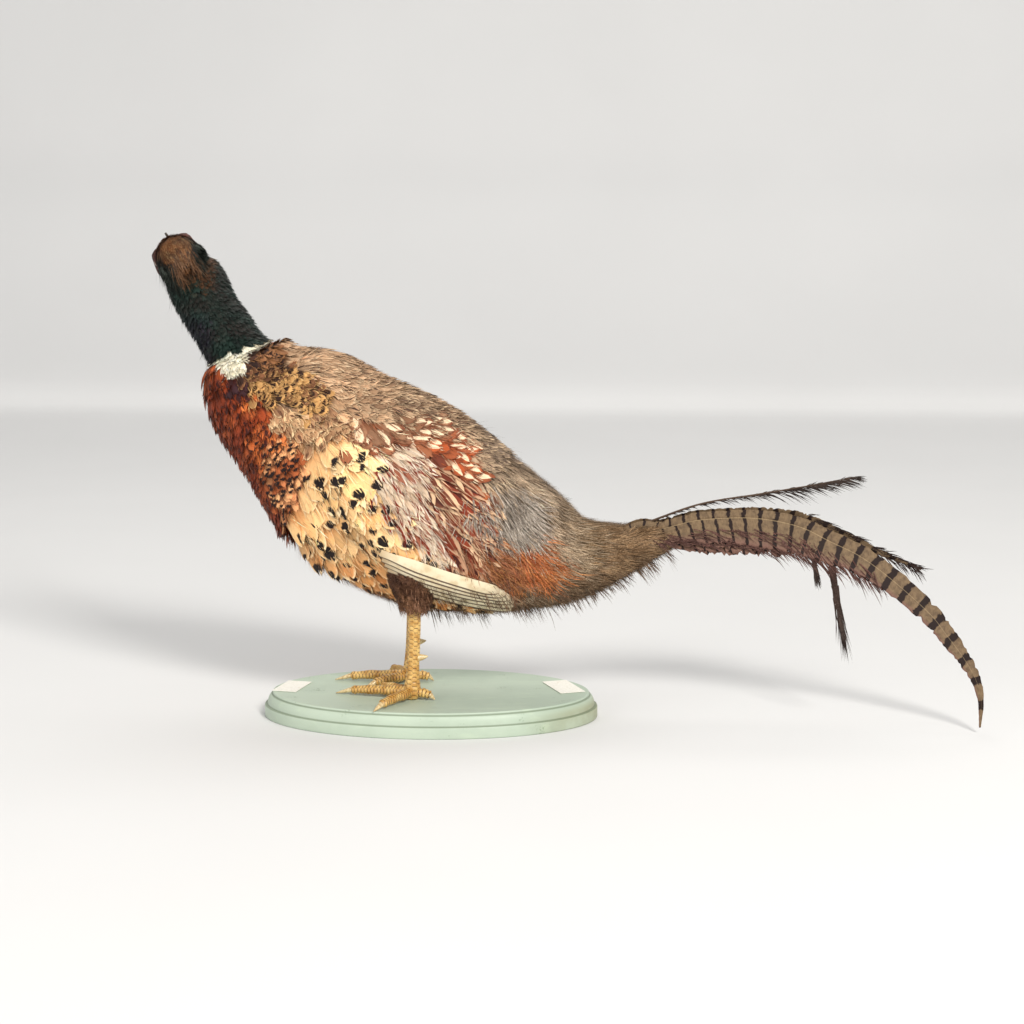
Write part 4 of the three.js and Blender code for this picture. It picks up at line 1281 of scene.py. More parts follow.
def make_wattle(word, side):
    """Bare skin round an eye: an ellipsoid pressed in about the eye, with small warts."""
    ball = ellipsoid_grid(90, 120)
    half = np.array([WATTLE["long"], WATTLE["thick"], WATTLE["tall"]])
    warts = (np.sin(ball[..., 0] * 61 + 9 * ball[..., 2]) * np.sin(ball[..., 2] * 67)
             * np.sin(ball[..., 1] * 43 + ball[..., 0] * 20))
    eye = np.hypot(ball[..., 0] * half[0], ball[..., 2] * half[2] - (EYE["up"] - WATTLE["up"]))
    press = 3.0 * np.exp(-(eye / 5.6) ** 4) - 0.9 * np.exp(-((eye - 7.2) / 1.5) ** 2)
    local = ball * (half + 0.22 * warts[..., None])
    local[..., 1] -= press * np.sign(ball[..., 1])
    solid_tube(
        f"wattle_skin_{word}", about(WATTLE, side, *np.moveaxis(local, -1, 0)), slot="face",
        replaces=(f"wattle_{word}",), material=wattle_finish())


@functools.cache
def wattle_finish():
    """Dried red skin, dark in patches and pale on its grain."""
    wires = new_material("Dried wattle", Roughness=0.6, Specular_IOR_Level=0.35)
    grain = wires.noise(650, 4)
    patch = wires.step(wires.noise(110, 3), 0.38, 0.66)
    colour = wires.mix(patch, paint(48, 29, 23), colours().wattle)
    colour = wires.stain(colour, grain, 0.5, 0.72, (150, 72, 52), 0.5)
    return wires.finish(colour, grain, 0.6, 0.0005)


@functools.cache
def eye_finish():
    """Glass over a dark pupil and a streaked amber iris, told apart by the map's first way."""
    wires = new_material("Glass eye", Roughness=0.08, Coat_Weight=1.0, Coat_Roughness=0.02)
    out = wires.uv("Iris")[0]
    iris = wires.stain(paint(150, 92, 34), wires.noise(420, 3), 0.35, 0.7, (206, 148, 66))
    colour = wires.mix(wires.step(out, 0.115, 0.13), paint(8, 6, 6), iris)
    return wires.finish(wires.stain(colour, out, 0.31, 0.35, (30, 18, 14)))


def make_eye(word, side):
    """A glass eye: a ball whose map runs out from the pupil, and round it."""
    left, forward, up = np.moveaxis(EYE["radius"] * ellipsoid_grid(48, 48), -1, 0)
    share = np.linspace(0, 1, 48)
    uv = np.concatenate([joined(share[:, None], share).reshape(-1, 2), [[0, 0.5], [1, 0.5]]])
    new_piece(
        f"eyeball_{word}", *closed_tube(about(EYE, side, forward, left, up)), slot="eye_glass",
        replaces=(f"eye_{word}",), material=eye_finish(), uvs={"Iris": uv})


def make_lids(word, side):
    """The rim of the lids: a ring about the eye, a little longer than tall and thicker above."""
    angle = np.linspace(0, TURN, 60, endpoint=False)
    tall, long = 4.9, 5.5
    out = 3.1 + 0.35 * np.cos(angle) ** 2
    line = about(EYE, side, long * np.cos(angle), out, tall * np.sin(angle))
    ahead = unit(np.roll(line, -1, axis=0) - np.roll(line, 1, axis=0))
    out = unit(np.cross(ahead, side * HEAD_FRAME[1]))
    spin = np.arange(12) * TURN / 12
    radius = (1.0 + 0.25 * np.sin(angle))[:, None, None]
    ring = line[:, None] + radius * (
        out[:, None] * np.cos(spin)[:, None] + side * HEAD_FRAME[1] * np.sin(spin)[:, None])
    rows, columns = ring.shape[:2]
    quads = grid_quads(rows + 1, columns, True) % (rows * columns)
    piece = new_piece(f"lids_{word}", ring, quads, slot="face", material=wattle_finish())
    face_outward(piece)


@functools.cache
def bill_finish():
    """Horn with streaks along the bill."""
    wires = new_material("Horn of the bill", Roughness=0.38, Specular_IOR_Level=0.5)
    grain = wires.noise(240, 4, stretch=(1, 0.3, 1))
    colour = wires.stain(paint(120, 106, 76), grain, 0.35, 0.7, (176, 162, 122))
    return wires.finish(colour, grain, 0.2, 0.0003)


def make_bill():
    """Both halves of the bill: ellipses drawn to a ridge along one side, with rounded ends. The
    upper one has a nostril under a flap on each side: a dent and a swelling."""
    angle = np.arange(40) * TURN / 40
    for name, sections, ridge in (("upper", BILL_UPPER, 1), ("lower", BILL_LOWER, -1)):
        t = np.linspace(0, len(sections) - 1, 40)
        forward, up, wide, tall = through(sections, t).T[..., None]
        end = np.sqrt(np.clip(1 - ((t - t[-1] + 0.5) / 0.5).clip(0, 1) ** 2, 0.05, 1))[:, None]
        height = np.sin(angle) * (1 + ridge * 0.22 * np.sin(angle) ** 3)
        local = joined(forward, wide * end * np.cos(angle), up + tall * end * height)
        if name == "upper":
            for at, long, up, tall, out in ((30, 3.2, 3.0, 1.1, -1.1), (29.5, 4.2, 4.6, 1.3, 0.6)):
                away = np.hypot((local[..., 0] - at) / long, (local[..., 2] - up) / tall)
                local[..., 1] += np.sign(local[..., 1]) * out * np.exp(-(away**2))
        solid_tube(
            f"bill_{name}_horn", HEAD_CENTRE + local @ HEAD_FRAME, slot="horn",
            replaces=(f"bill_{name}",), material=bill_finish())


def make_ear_tuft(word, side):
    """A tuft of stiff feathers behind the eye: barbs from a round root to one tip."""
    draw = random("ear " + word)
    count = 320
    angle, far = draw.uniform(0, TURN, count), np.sqrt(draw.random(count))
    start = in_head(EAR_ROOT[0], side * EAR_ROOT[1], EAR_ROOT[2])
    end = in_head(EAR_TIP[0], side * EAR_TIP[1], EAR_TIP[2])
    along = unit(end - start)
    beside = unit(np.cross(along, HEAD_FRAME[2]))
    over = np.cross(beside, along)
    ring = beside * np.cos(angle)[:, None] + over * np.sin(angle)[:, None]
    roots = start + ring * (4.4 * far)[:, None] + along * draw.uniform(-3, 5, count)[:, None]
    ways = end + ring * (2.6 * far)[:, None] - roots
    ways = ways + NECK_WAY * draw.uniform(4, 22, count)[:, None]
    lengths = draw.uniform(10, 19, count)
    strands(
        f"coat_ear_{word}", roots, ways, lengths, 1.5, ring + 0.01, 0.0, paint(16, 22, 20),
        paint(30, 48, 42), "neck_green", draw, replaces=(f"ear_tuft_{word}",), fleck=0.05)


# ---- the wings


def side_uv(x, z, side):
    """Where on the trunk places seen from the side lie: the nearest of a grid of places, then
    two steps of Newton's way in x and z."""
    surface = body_surface()
    rows, columns = np.meshgrid(
        np.linspace(6, 13, 120), side * np.linspace(0.1, math.pi - 0.1, 80), indexing="ij")
    place = surface.sample(rows, columns)[0].reshape(-1, 3)
    away = (place[None, :, 0] - x[:, None]) ** 2 + (place[None, :, 2] - z[:, None]) ** 2
    best = away.argmin(axis=1)
    u, v = rows.ravel()[best], columns.ravel()[best]
    for _ in range(2):
        at, du, dv, _ = surface.sample(u, v)
        miss_x, miss_z = x - at[:, 0], z - at[:, 2]
        area = du[:, 0] * dv[:, 2] - du[:, 2] * dv[:, 0]
        area = np.where(np.abs(area) < 40, np.inf, area)
        u = u + (dv[:, 2] * miss_x - dv[:, 0] * miss_z) / area
        v = v + (du[:, 0] * miss_z - du[:, 2] * miss_x) / area
    return u, v


FLIGHTS = {"count": 6, "root": ((-32, 146), (-24, 122)), "tip": ((58, 114), (69, 95)), "half": 4.7}


@functools.cache
def flight_finish():
    """Cream vanes with a stained tip, a brown lower edge and fine slanting barbs."""
    wires = new_material("Flight feathers", Roughness=0.5)
    along, across = wires.uv("Vane")
    slant = wires.plus(wires.times(along, 60), wires.times(wires.size(wires.minus(across, 0.5)), -16))
    barbs = wires.math("SINE", wires.times(slant, TURN))
    colour = wires.stain(paint(238, 224, 192), wires.noise(120, 4), 0.4, 0.7, (218, 196, 156))
    colour = wires.stain(colour, along, 0.14, 0, (206, 180, 142))
    colour = wires.stain(colour, across, 0.16, 0.07, (84, 62, 46))
    colour = wires.stain(colour, along, 0.93, 1, (150, 112, 78), 0.5)
    return wires.finish(colour, barbs, 0.3, 0.0002)


def make_flights(word, side):
    """The folded flight feathers: long vanes fanned between the first and the last, each a
    little under the one above."""
    surface = body_surface()
    count = FLIGHTS["count"]
    order = np.linspace(0, 1, count)[:, None, None]
    first_root, last_root, first_tip, last_tip = (
        np.array(place, float) for place in FLIGHTS["root"] + FLIGHTS["tip"])
    root = first_root + (last_root - first_root) * order
    tip = first_tip + (last_tip - first_tip) * np.array([0.0, 1]) * order
    tip = tip + (last_tip - first_tip) * np.array([1.0, 0]) * np.sin(order * 2.2)
    along, across = (part.reshape(1, -1, 1) for part in np.meshgrid(
        np.linspace(0, 1, 30), np.linspace(-1, 1, 7), indexing="ij"))
    half = FLIGHTS["half"] * np.sqrt(np.clip(along / 0.3, 0.3, 1)) * np.sqrt(
        np.clip(1 - (np.clip(along - 0.88, 0, 1) / 0.125) ** 2, 0.03, 1))
    way = unit(tip - root)
    up = joined(-way[..., 1], way[..., 0])
    sag = -1.6 * np.sin(along * math.pi)
    side_view = root + (tip - root) * along + up * (half * across + sag)
    u, v = side_uv(side_view[..., 0].ravel(), side_view[..., 1].ravel(), side)
    place, _, _, normal = surface.sample(u, v)
    lift = 2.0 + 1.3 * (1 - order) - (0.15 * across**2 + 0.55 * across)
    points = place + unit(normal) * lift.reshape(-1, 1)
    each = along.size
    uv = np.broadcast_to(joined(along, 0.5 + 0.5 * across).reshape(1, -1, 2), (count, each, 2))
    row = 0.04 + 0.92 * (order[..., 0] * 0.88 + uv[..., 1] * 0.09)
    new_piece(
        f"flights_{word}", points, copies(grid_quads(30, 7, False), each, count),
        slot="flight", replaces=(f"flight_feathers_{word}",), material=flight_finish(),
        uvs={"Vane": uv, "OFBake": joined(uv[..., 0] * 0.94 + 0.03, row)})


# ---- the tail


def tail_frame(line, t, side, tilt, offset, drop, grown):
    """Shaft places along a tail line, and the ways up the vane and out of its face."""
    along = slope(line, t)
    upright = unit(np.cross(along, [0.0, 1.0, 0.0]))
    rise = upright * math.cos(tilt) + np.array([0, side * math.sin(tilt), 0])
    centre = through(line[:, :3], t) + np.array([0, -side * offset, 0])
    centre = centre - rise * (drop * smooth(grown * 3))[:, None]
    return centre, rise, unit(np.cross(along, rise))


def make_tail_feather(word, order):
    """One long tail feather: a crowned vane on each side of a bent shaft, whose map runs along
    by the count of bars. Returns the shaft's places, the ways up and out of the vane, and its
    reach above and below."""
    line = TAIL_LINE[word]
    side = SIDES[word]
    share = TAIL_SHARE[word][order]
    first = TAIL_EARLY_ROWS
    last = first + (len(line) - 1 - first) * share
    start = 0.3 if order == 0 else 1.0 + 0.2 * order
    rows = int(20 + 130 * share)
    t = np.linspace(start, last, rows)
    grown = (t - start) / (last - start)
    offset = TAIL_FIRST_Y - TAIL_NEST * order
    centre, rise, face = tail_frame(line, t, side, TAIL_TILT, offset, TAIL_DROP[order], grown)
    draw = random(f"tail {word} {order}")
    narrow = 1 - 0.85 * smooth((grown - 0.65) / 0.35) if share < 1 else np.ones(rows)
    widths = through(line, t)
    up, down = widths[:, 3] * narrow, widths[:, 4] * narrow
    across = np.array([-1, -0.86, -0.6, -0.3, -0.05, 0, 0.05, 0.3, 0.6, 0.86, 1.0])
    ragged = draw.uniform(0.86, 1.0, (rows, 1))
    nick = np.where(draw.random((rows, 1)) < 0.1, 0.8, 1.0)
    reach = np.where(across > 0, up[:, None], down[:, None])
    ragged = 1 - (1 - ragged * nick) * np.abs(across) ** 4
    height = across * reach * ragged
    slip = 0.3 * np.abs(across)
    depth = 0.9 * (1 - across**2) * np.clip(reach / 12, 0.2, 1) + draw.normal(0, 0.05, (rows, 1))
    along = unit(np.gradient(centre, axis=0))
    points = centre[:, None] + rise[:, None] * height[..., None]
    points = points - side * face[:, None] * (depth - 0.8)[..., None]
    points = points + along[:, None] * (slip * reach * 0.35)[..., None]
    distance = far_along(centre)
    spacing = sizes().tail_bar / MM * (0.84 + 0.72 * (distance / 330) ** 1.3)
    bars = summed(np.diff(distance) / spacing[1:])
    uv = joined(bars[:, None] / TAIL_MAP_BARS, 0.5 + 0.5 * across)
    bake = joined(0.03 + 0.94 * grown[:, None], 0.06 + 0.88 * (0.5 + 0.5 * across))
    piece = new_piece(
        f"tail_vane_{order + 1}_{word}", points, grid_quads(rows, len(across), False),
        slot="tail_bar", replaces=(f"tail_feather_{order + 1}_{word}",),
        material=tail_finish(), uvs={"Vane": uv, "OFBake": bake})
    wall = piece.modifiers.new("Wall", "SOLIDIFY")
    wall.thickness = 0.0004
    wall.offset = 0
    return centre, rise, face, up, down


@functools.cache
def tail_finish():
    """Buff vanes with dark bars, set back on the lower vane near the root, a purple-brown outer
    edge and a pale shaft."""
    wires = new_material("Barred tail", Roughness=0.65, Specular_IOR_Level=0.22)
    along, across = wires.uv("Vane")
    bars = wires.times(along, TAIL_MAP_BARS)
    rough = wires.noise(260, 4)
    fine = wires.noise(1100, 2, stretch=(1, 1, 0.25))
    lag = wires.times(wires.step(across, 0.49, 0.51, 1, 0), wires.step(bars, 0, 11, 0.48, 0))
    wobble = wires.times(wires.minus(rough, 0.5), 0.35)
    place = wires.math("FRACT", wires.plus(wires.minus(bars, lag), wobble))
    away = wires.size(wires.minus(place, 0.5))
    half = wires.step(bars, 0, 20, 0.09, 0.17)
    bar = wires.step(wires.minus(away, half), -0.03, 0.03, 1, 0)
    side = wires.size(wires.minus(across, 0.5))
    buff = wires.stain(colours().tail, rough, 0.35, 0.7, (96, 78, 59))
    edge = wires.times(wires.step(side, 0.26, 0.47), wires.step(across, 0.5, 0.45))
    buff = wires.mix(wires.times(edge, 0.75), buff, paint(118, 84, 76))
    colour = wires.mix(bar, buff, paint(30, 15, 11))
    colour = wires.mix(wires.step(side, 0.004, 0.016, 0.36, 0), colour, paint(196, 172, 132))
    dark = wires.times_colour(colour, 0.7, 0.66, 0.62)
    colour = wires.mix(wires.step(fine, 0.4, 0.75, 0, 0.8), colour, dark)
    return wires.finish(colour, fine, 0.35, 0.0003)


def tail_strands(name, feather, low, high, count, lengths, droop, sign, draw, tint):
    """Barbs loose from an edge of a tail feather: the upper one where sign is 1, the lower one
    where it is -1."""
    centre, rise, face, up, down = feather
    at = draw.uniform(low, high, count) * (len(centre) - 1)
    index = np.clip(at.astype(int), 0, len(centre) - 1)
    along = unit(np.gradient(centre, axis=0))[index]
    reach = (down if sign < 0 else up)[index] * draw.uniform(0.35, 0.98, count)
    roots = centre[index] + rise[index] * (sign * reach)[:, None]
    lean = draw.uniform(0.08, 0.6, (count, 1))
    ways = along + sign * rise[index] * lean + draw.normal(0, 0.08, (count, 3))
    strands(
        name, roots + face[index] * draw.normal(0, 1.0, (count, 1)), ways,
        lengths * draw.uniform(0.45, 1.1, count), 0.75, face[index],
        droop * draw.uniform(0.2, 1.0, count), tint, tint * [0.6, 0.55, 0.55, 1], "tail_dark",
        draw, along_map=at)


def loosen_tail(word, feather):
    """The loose edges of a side's longest feather: a fringe below, and the frayed right tip."""
    draw = random("tail edge " + word)
    tail_strands(f"tail_fringe_{word}", feather, 0.05, 0.6, 620, 20.0, 0.25, -1, draw, paint(96, 60, 52))
    if word == "right":
        for name, low, count, long, sign in (("over", 0.62, 70, 13.0, 1), ("under", 0.6, 90, 17.0, -1)):
            tail_strands(
                "tail_frays_" + name, feather, low, 0.99, count, long, 0.3, sign, draw, paint(58, 38, 32))


def shaft_finish():
    """A dark shaft with browner stretches."""
    wires = new_material("Dark shaft", Roughness=0.5, Specular_IOR_Level=0.3)
    return wires.finish(wires.mix(wires.noise(300, 3), paint(44, 32, 27), paint(96, 74, 56)))


def make_stray():
    """The stray plume over the tail: a shaft and loose barbs that hang back from it."""
    rows, count = 60, 300
    centre = through(STRAY_LINE[:, :3], np.linspace(0, len(STRAY_LINE) - 1, rows))
    grown = np.linspace(0, 1, rows)
    solid_tube(
        "stray_shaft", tube_rings(centre, 0.95 * (1 - 0.8 * grown), 10), slot="tail_dark",
        replaces=("tail_feather_stray",), material=shaft_finish())
    draw = random("stray")
    at = np.sort(draw.random(count) ** 0.8) * (rows - 1)
    index = at.astype(int)
    along = unit(np.gradient(centre, axis=0))[index]
    upper = draw.random(count) < 0.25
    size = np.interp(grown[index], [0, 0.3, 0.6, 0.9, 1], [4, 11, 25, 21, 9])
    size = size * np.where(upper, 0.3, 1) * draw.uniform(0.5, 1.05, count)
    lean = np.where(upper, 1.0, -1.0) * draw.uniform(0.1, 0.42, count)
    ways = along + np.array([0, 0, 1.0]) * lean[:, None] + draw.normal(0, 0.06, (count, 3))
    strands(
        "stray_barbs", centre[index], ways, size, 0.6, ACROSS, draw.uniform(0, 0.3, count),
        paint(50, 33, 27), paint(36, 26, 24), "tail_dark", draw, along_map=at)


def make_lock(number, shape):
    """A hanging lock of loose barbs that spread and meet at the end."""
    draw = random(f"lock {number}")
    count = 70
    top, bottom = np.array(shape["top"], float), np.array(shape["bottom"], float)
    fall = bottom - top
    way = unit(fall)
    start = draw.uniform(-0.05, 0.55, count)[:, None]
    spread = draw.normal(0, shape["wide"] * 0.17, (count, 3)) * [1, 0.5, 0.3]
    roots = top + fall * start + spread
    end = bottom + draw.normal(0, 1.0, (count, 3)) - fall * draw.uniform(0, 0.4, (count, 1))
    ways = np.where(((end - roots) @ way)[:, None] > 4, end - roots, way * 8)
    strands(
        f"lock_{number}", roots, ways, np.linalg.norm(ways, axis=1), 0.9, ACROSS, 0.0, paint(66, 44, 36),
        paint(44, 30, 27), "tail_dark", draw, replaces=(f"tail_lock_{number}",))


# ---- the legs


def scaly(rings, length, plate, columns, deep):
    """Rings swollen into horny plates, and how high on a plate each point is. Each column of
    plates is shifted by half, with zigzag lines between, so that the plates are six-sided."""
    sides = rings.shape[1]
    centre = rings.mean(axis=1, keepdims=True)
    a = length[:, None] / plate
    b = np.arange(sides)[None] / sides * columns
    b = b + 0.17 * np.cos(math.pi * b) * (1 - 4 * np.abs(np.mod(a, 1.0) - 0.5))
    shift = 0.5 * (np.floor(b) % 2)
    along = np.mod(a + shift, 1.0)
    around = np.mod(b, 1.0)
    crown = (1 - np.abs(2 * along - 1) ** 3) * (1 - np.abs(2 * around - 1) ** 9)
    hook = 0.4 * along * crown
    swollen = centre + (rings - centre) * (1 + deep * (crown + hook - 0.9))[..., None]
    return swollen, crown


@functools.cache
def leg_finish():
    """Horny gold plates, with painted shade darkening the gaps between them."""
    wires = new_material("Leg scales", Roughness=0.42, Specular_IOR_Level=0.5)
    colour = wires.stain(colours().leg, wires.noise(160, 4), 0.36, 0.66, (224, 186, 114))
    colour = wires.stain(colour, wires.noise(520, 3), 0.52, 0.7, (150, 100, 50), 0.5)
    height = wires.node("SeparateColor", {0: wires.colour("plate")}).outputs[0]
    # painted shade: the plate's height from the mesh darkens its edges and the gaps between plates
    gap = wires.step(height, 0.05, 0.75, 1, 0)
    return wires.finish(wires.mix(gap, colour, paint(76, 46, 24)), wires.noise(900, 3), 0.25, 0.0003)


@functools.cache
def claw_finish():
    """Pale horn with darker patches."""
    wires = new_material("Claw horn", Roughness=0.35, Coat_Weight=0.2)
    grain = wires.noise(500, 3)
    colour = wires.stain(paint(226, 206, 158), grain, 0.3, 0.7, (178, 146, 98))
    return wires.finish(colour, grain, 0.2, 0.0002)


def plated_piece(name, line, radii, sides, plate, columns, replaces, flat=1.0, level=(0, 0, 1.0)):
    """A scaly tube along a line. The shank, which has more columns of plates than a toe, has
    them flatter."""
    deep, power = (0.06, 0.8) if columns > 6 else (0.13, 1.4)
    rings = tube_rings(line, radii, sides, flat, level)
    rings, crown = scaly(rings, far_along(line), plate, columns, deep)
    # how high on its plate each point is, which leg_finish turns into painted shade in the gaps
    shade = np.concatenate([crown.ravel() ** power, [1, 1]])
    solid_tube(
        name, rings, slot="scale_gold", replaces=replaces, material=leg_finish(),
        colours={"plate": joined(shade, shade, shade, 1.0)})


def make_shank(word):
    """The scaly shank, thicker at the hock and at the ankle."""
    foot = FEET[word]
    ground = FLOOR + GAP
    z = np.linspace(THIGH["bottom"] + 14, ground + 0.4, 170)
    heights = [ground, ground + 4.5, ground + SHANK["ankle_height"], 40, 50, 72, 87, 96]
    radii = [4.2, 6.5, SHANK["ankle"], 5.4, SHANK["middle"], SHANK["middle"], SHANK["radius"], 5.6]
    radius = np.interp(z, heights, radii)
    x = foot["x"] + 2 * smooth((z - ground) / 60)
    line = joined(x, foot["y"], z)
    plated_piece(
        f"shank_scales_{word}", line, radius, 48, sizes().scute / MM, 8, (f"shank_{word}",), level=ACROSS)


def toe_line(foot, toe, t):
    """A toe's line from the ankle to the claw's tip: a low arch that comes down to the board."""
    degrees, length = foot["toes"][toe]
    lift = TOE["radius"] * (1 - 0.9 * np.maximum(0, (t - 0.8) / 0.2))
    arch = TOE["arch"] * np.sin(math.pi * np.minimum(t * 1.25, 1))
    z = FLOOR + GAP + 0.1 + lift + arch * 0.5 + 2.5 * (1 - smooth(t * 3))
    way = math.radians(degrees)
    x, y = foot["x"] + math.cos(way) * length * t, foot["y"] + math.sin(way) * length * t
    return joined(x, y, z)


def make_toe(word, toe):
    """One toe with its plates and knuckles, and its claw."""
    foot = FEET[word]
    end = 1 - TOE["claw_share"]
    t = np.linspace(0.05, end, 90)
    knuckle = 1 + 0.07 * np.cos(t / end * math.pi * 6)
    radii = 1.15 * TOE["radius"] * knuckle * (1 - 0.2 * t / end)
    radii = radii * np.sqrt(np.clip((end + 0.01 - t) / 0.05, 0.15, 1))
    plated_piece(
        f"toe_scales_{toe}_{word}", toe_line(foot, toe, t), radii, 30, 2.8, 5,
        (f"toe_{toe}_{word}",), flat=0.9)
    t = np.linspace(end - 0.04, 1, 30)
    share = (t - t[0]) / (1 - t[0])
    line = toe_line(foot, toe, t)
    radii = TOE["radius"] * 0.7 * (1 - 0.86 * share**1.5)
    solid_tube(
        f"claw_horn_{toe}_{word}", tube_rings(line, radii, 16, 0.8), slot="horn",
        replaces=(f"claw_{toe}_{word}",), material=claw_finish())


def make_spur(word):
    """A blunt horn cone behind the shank, bent a little upwards."""
    foot = FEET[word]
    t = np.linspace(0, 1, 24)
    z = FLOOR + SPUR["height"] + 1.2 * t * t
    line = joined(foot["x"] + 3 + SPUR["length"] * t, foot["y"], z)
    radii = SPUR["radius"] * (1 - t**1.6) ** 0.8 + 0.15
    solid_tube(
        f"spur_horn_{word}", tube_rings(line, radii, 20), slot="horn",
        replaces=(f"spur_{word}",), material=claw_finish())


def make_thigh_coat(word):
    """Dark brown tufts that run down the thigh and end in a ragged cuff over the shank."""
    surface = Surface(thigh_point(FEET[word]), 0.0, 1.0, 60, 90)
    draw = random("thigh " + word)
    u, v = surface.roots(3.6, draw)
    u, v = u[u < 0.8], v[u < 0.8]
    place = surface.sample(u, v)[0]
    count = len(u)
    down = np.array([[0.12, 0, -1.0]]) + draw.normal(0, 0.3, (count, 3))
    long = draw.uniform(8, 14, count) * (1.1 - 0.4 * u)
    template = tuft_template(count, long, 5.5, 5.5 - 2.5 * u, draw, 11)
    share = 0.5 * patchy(place, draw, 18) + 0.5 * draw.random(count)
    ground = blend(paint(112, 70, 50), paint(186, 134, 96), share)[:, None]
    tip = 0.6 * smooth(template[3][..., 0])
    # darker towards the root: partly the tuft's own colour, partly painted shade under the tufts above
    colour = blend(ground * [0.6, 0.55, 0.5, 1], paint(126, 84, 62), tip)
    lay_feathers(
        "thigh_" + word, surface, u, v, down, template, -2.6, {"ground": colour}, "thigh",
        tuft_finish("thigh", fleck=0.03))


def make_cuff(word):
    """Long loose strands about the thigh's lower end, hanging over the shank."""
    draw = random("cuff " + word)
    count = 260
    u, v = draw.uniform(0.2, 0.8, count), draw.uniform(0, TURN, count)
    place = thigh_point(FEET[word])(u, v)
    out = joined(np.cos(v), np.sin(v), 0.0)
    ways = out * draw.uniform(0.05, 0.5, (count, 1)) + [0.12, 0, -1]
    strands(
        "coat_cuff_" + word, place - 1.5 * out, ways + draw.normal(0, 0.12, (count, 3)),
        draw.uniform(5, 12, count), 0.5, out + 0.01, 0.1, paint(104, 66, 48),
        paint(176, 130, 98), "thigh", draw)


# ---- the base


def make_board():
    """The turned oval base: a profile, as how far in from the rim and how high, spun round and
    narrowed across the bird."""
    radius = BOARD["length"] / 2
    inner = radius - BOARD["inset"]
    profile = np.array([
        [radius - 0.01, 0], [1.2, 0], [0.3, 0.3], [0, 1.1], [0, 8.4], [0.25, 9.1], [0.8, 9.45],
        [1.9, 9.6], [2.2, 9.62], [2.4, 9.8], [2.5, 10.6], [2.7, 12.4], [3.2, 14.3], [4.1, 16.1],
        [5.4, 17.5], [6.2, 17.9], [6.5, 17.95], [6.6, 18.2], [6.65, 19.2], [6.9, 19.7],
        [7.4, 19.95], [8.2, BOARD_TOP], [9.5, BOARD_TOP], [radius - inner * 0.66, BOARD_TOP],
        [radius - inner * 0.33, BOARD_TOP], [radius - 0.01, BOARD_TOP],
    ])
    out = radius - profile[:, :1]
    angle = np.arange(160) * TURN / 160
    across = out * np.sin(angle) * BOARD["width"] / BOARD["length"]
    rings = joined(out * np.cos(angle), across, profile[:, 1:])
    solid_tube(
        "oval_base", rings, slot="board_paint", replaces=("board",), material=board_finish(), bird=False)


def board_finish():
    """Worn pale-green paint: streaked and scuffed, with painted shade in its two grooves, and yellowed at
    the rim under the tail."""
    wires = new_material("Worn base paint", Roughness=0.48, Specular_IOR_Level=0.4)
    place = wires.node("TexCoord").outputs["Object"]
    forward, _, height = wires.node("SeparateXYZ", {0: place}).outputs
    broad, streak = wires.noise(14, 5), wires.noise(90, 5, stretch=(0.25, 1, 1))
    fine = wires.noise(700, 4)
    colour = wires.stain(colours().board, broad, 0.35, 0.7, (170, 185, 167))
    colour = wires.stain(colour, streak, 0.55, 0.75, (196, 212, 186), 0.45)
    rim = wires.times(wires.step(forward, 0.07, 0.135), wires.step(broad, 0.3, 0.6))
    rim = wires.times(rim, wires.step(height, 0.019, 0.012))
    colour = wires.mix(wires.times(rim, 0.55), colour, paint(138, 130, 84))
    # painted shade: a darker band along each groove, under the top step and at the ledge
    for groove in (0.0181, 0.0097):
        away = wires.size(wires.minus(height, groove))
        colour = wires.mix(wires.step(away, 0.0003, 0.0009, 0.6, 0), colour, paint(92, 104, 78))
    scuff = wires.plus(wires.times(fine, 0.4), wires.times(wires.noise(60, 4), 0.6))
    colour = wires.stain(colour, scuff, 0.6, 0.66, (112, 132, 104), 0.6)
    return wires.finish(colour, fine, 0.15, 0.0003)


def paper_finish():
    """Old label paper: off-white with faint fibres and a few foxed spots."""
    wires = new_material("Label paper", Roughness=0.85)
    fibre, spots = wires.noise(1500, 3, stretch=(0.3, 1, 1)), wires.noise(160, 4)
    colour = wires.stain(paint(240, 238, 230), fibre, 0.4, 0.7, (224, 220, 208))
    colour = wires.stain(colour, spots, 0.62, 0.72, (196, 182, 150), 0.4)
    return wires.finish(colour, fibre, 0.1, 0.0001)


def dress_labels():
    """Paper for the two labels, which keep their own solids."""
    material = paper_finish()
    for name in ("label_front", "label_back"):
        label = bpy.data.objects[name]
        label.data.materials.clear()
        label.data.materials.append(material)


# ---- the stage

CAMERA = {"at": (0.16008919, -1.79741377, 0.43551763), "turn": 3.0, "fall": 8.5, "lens": 80.0}


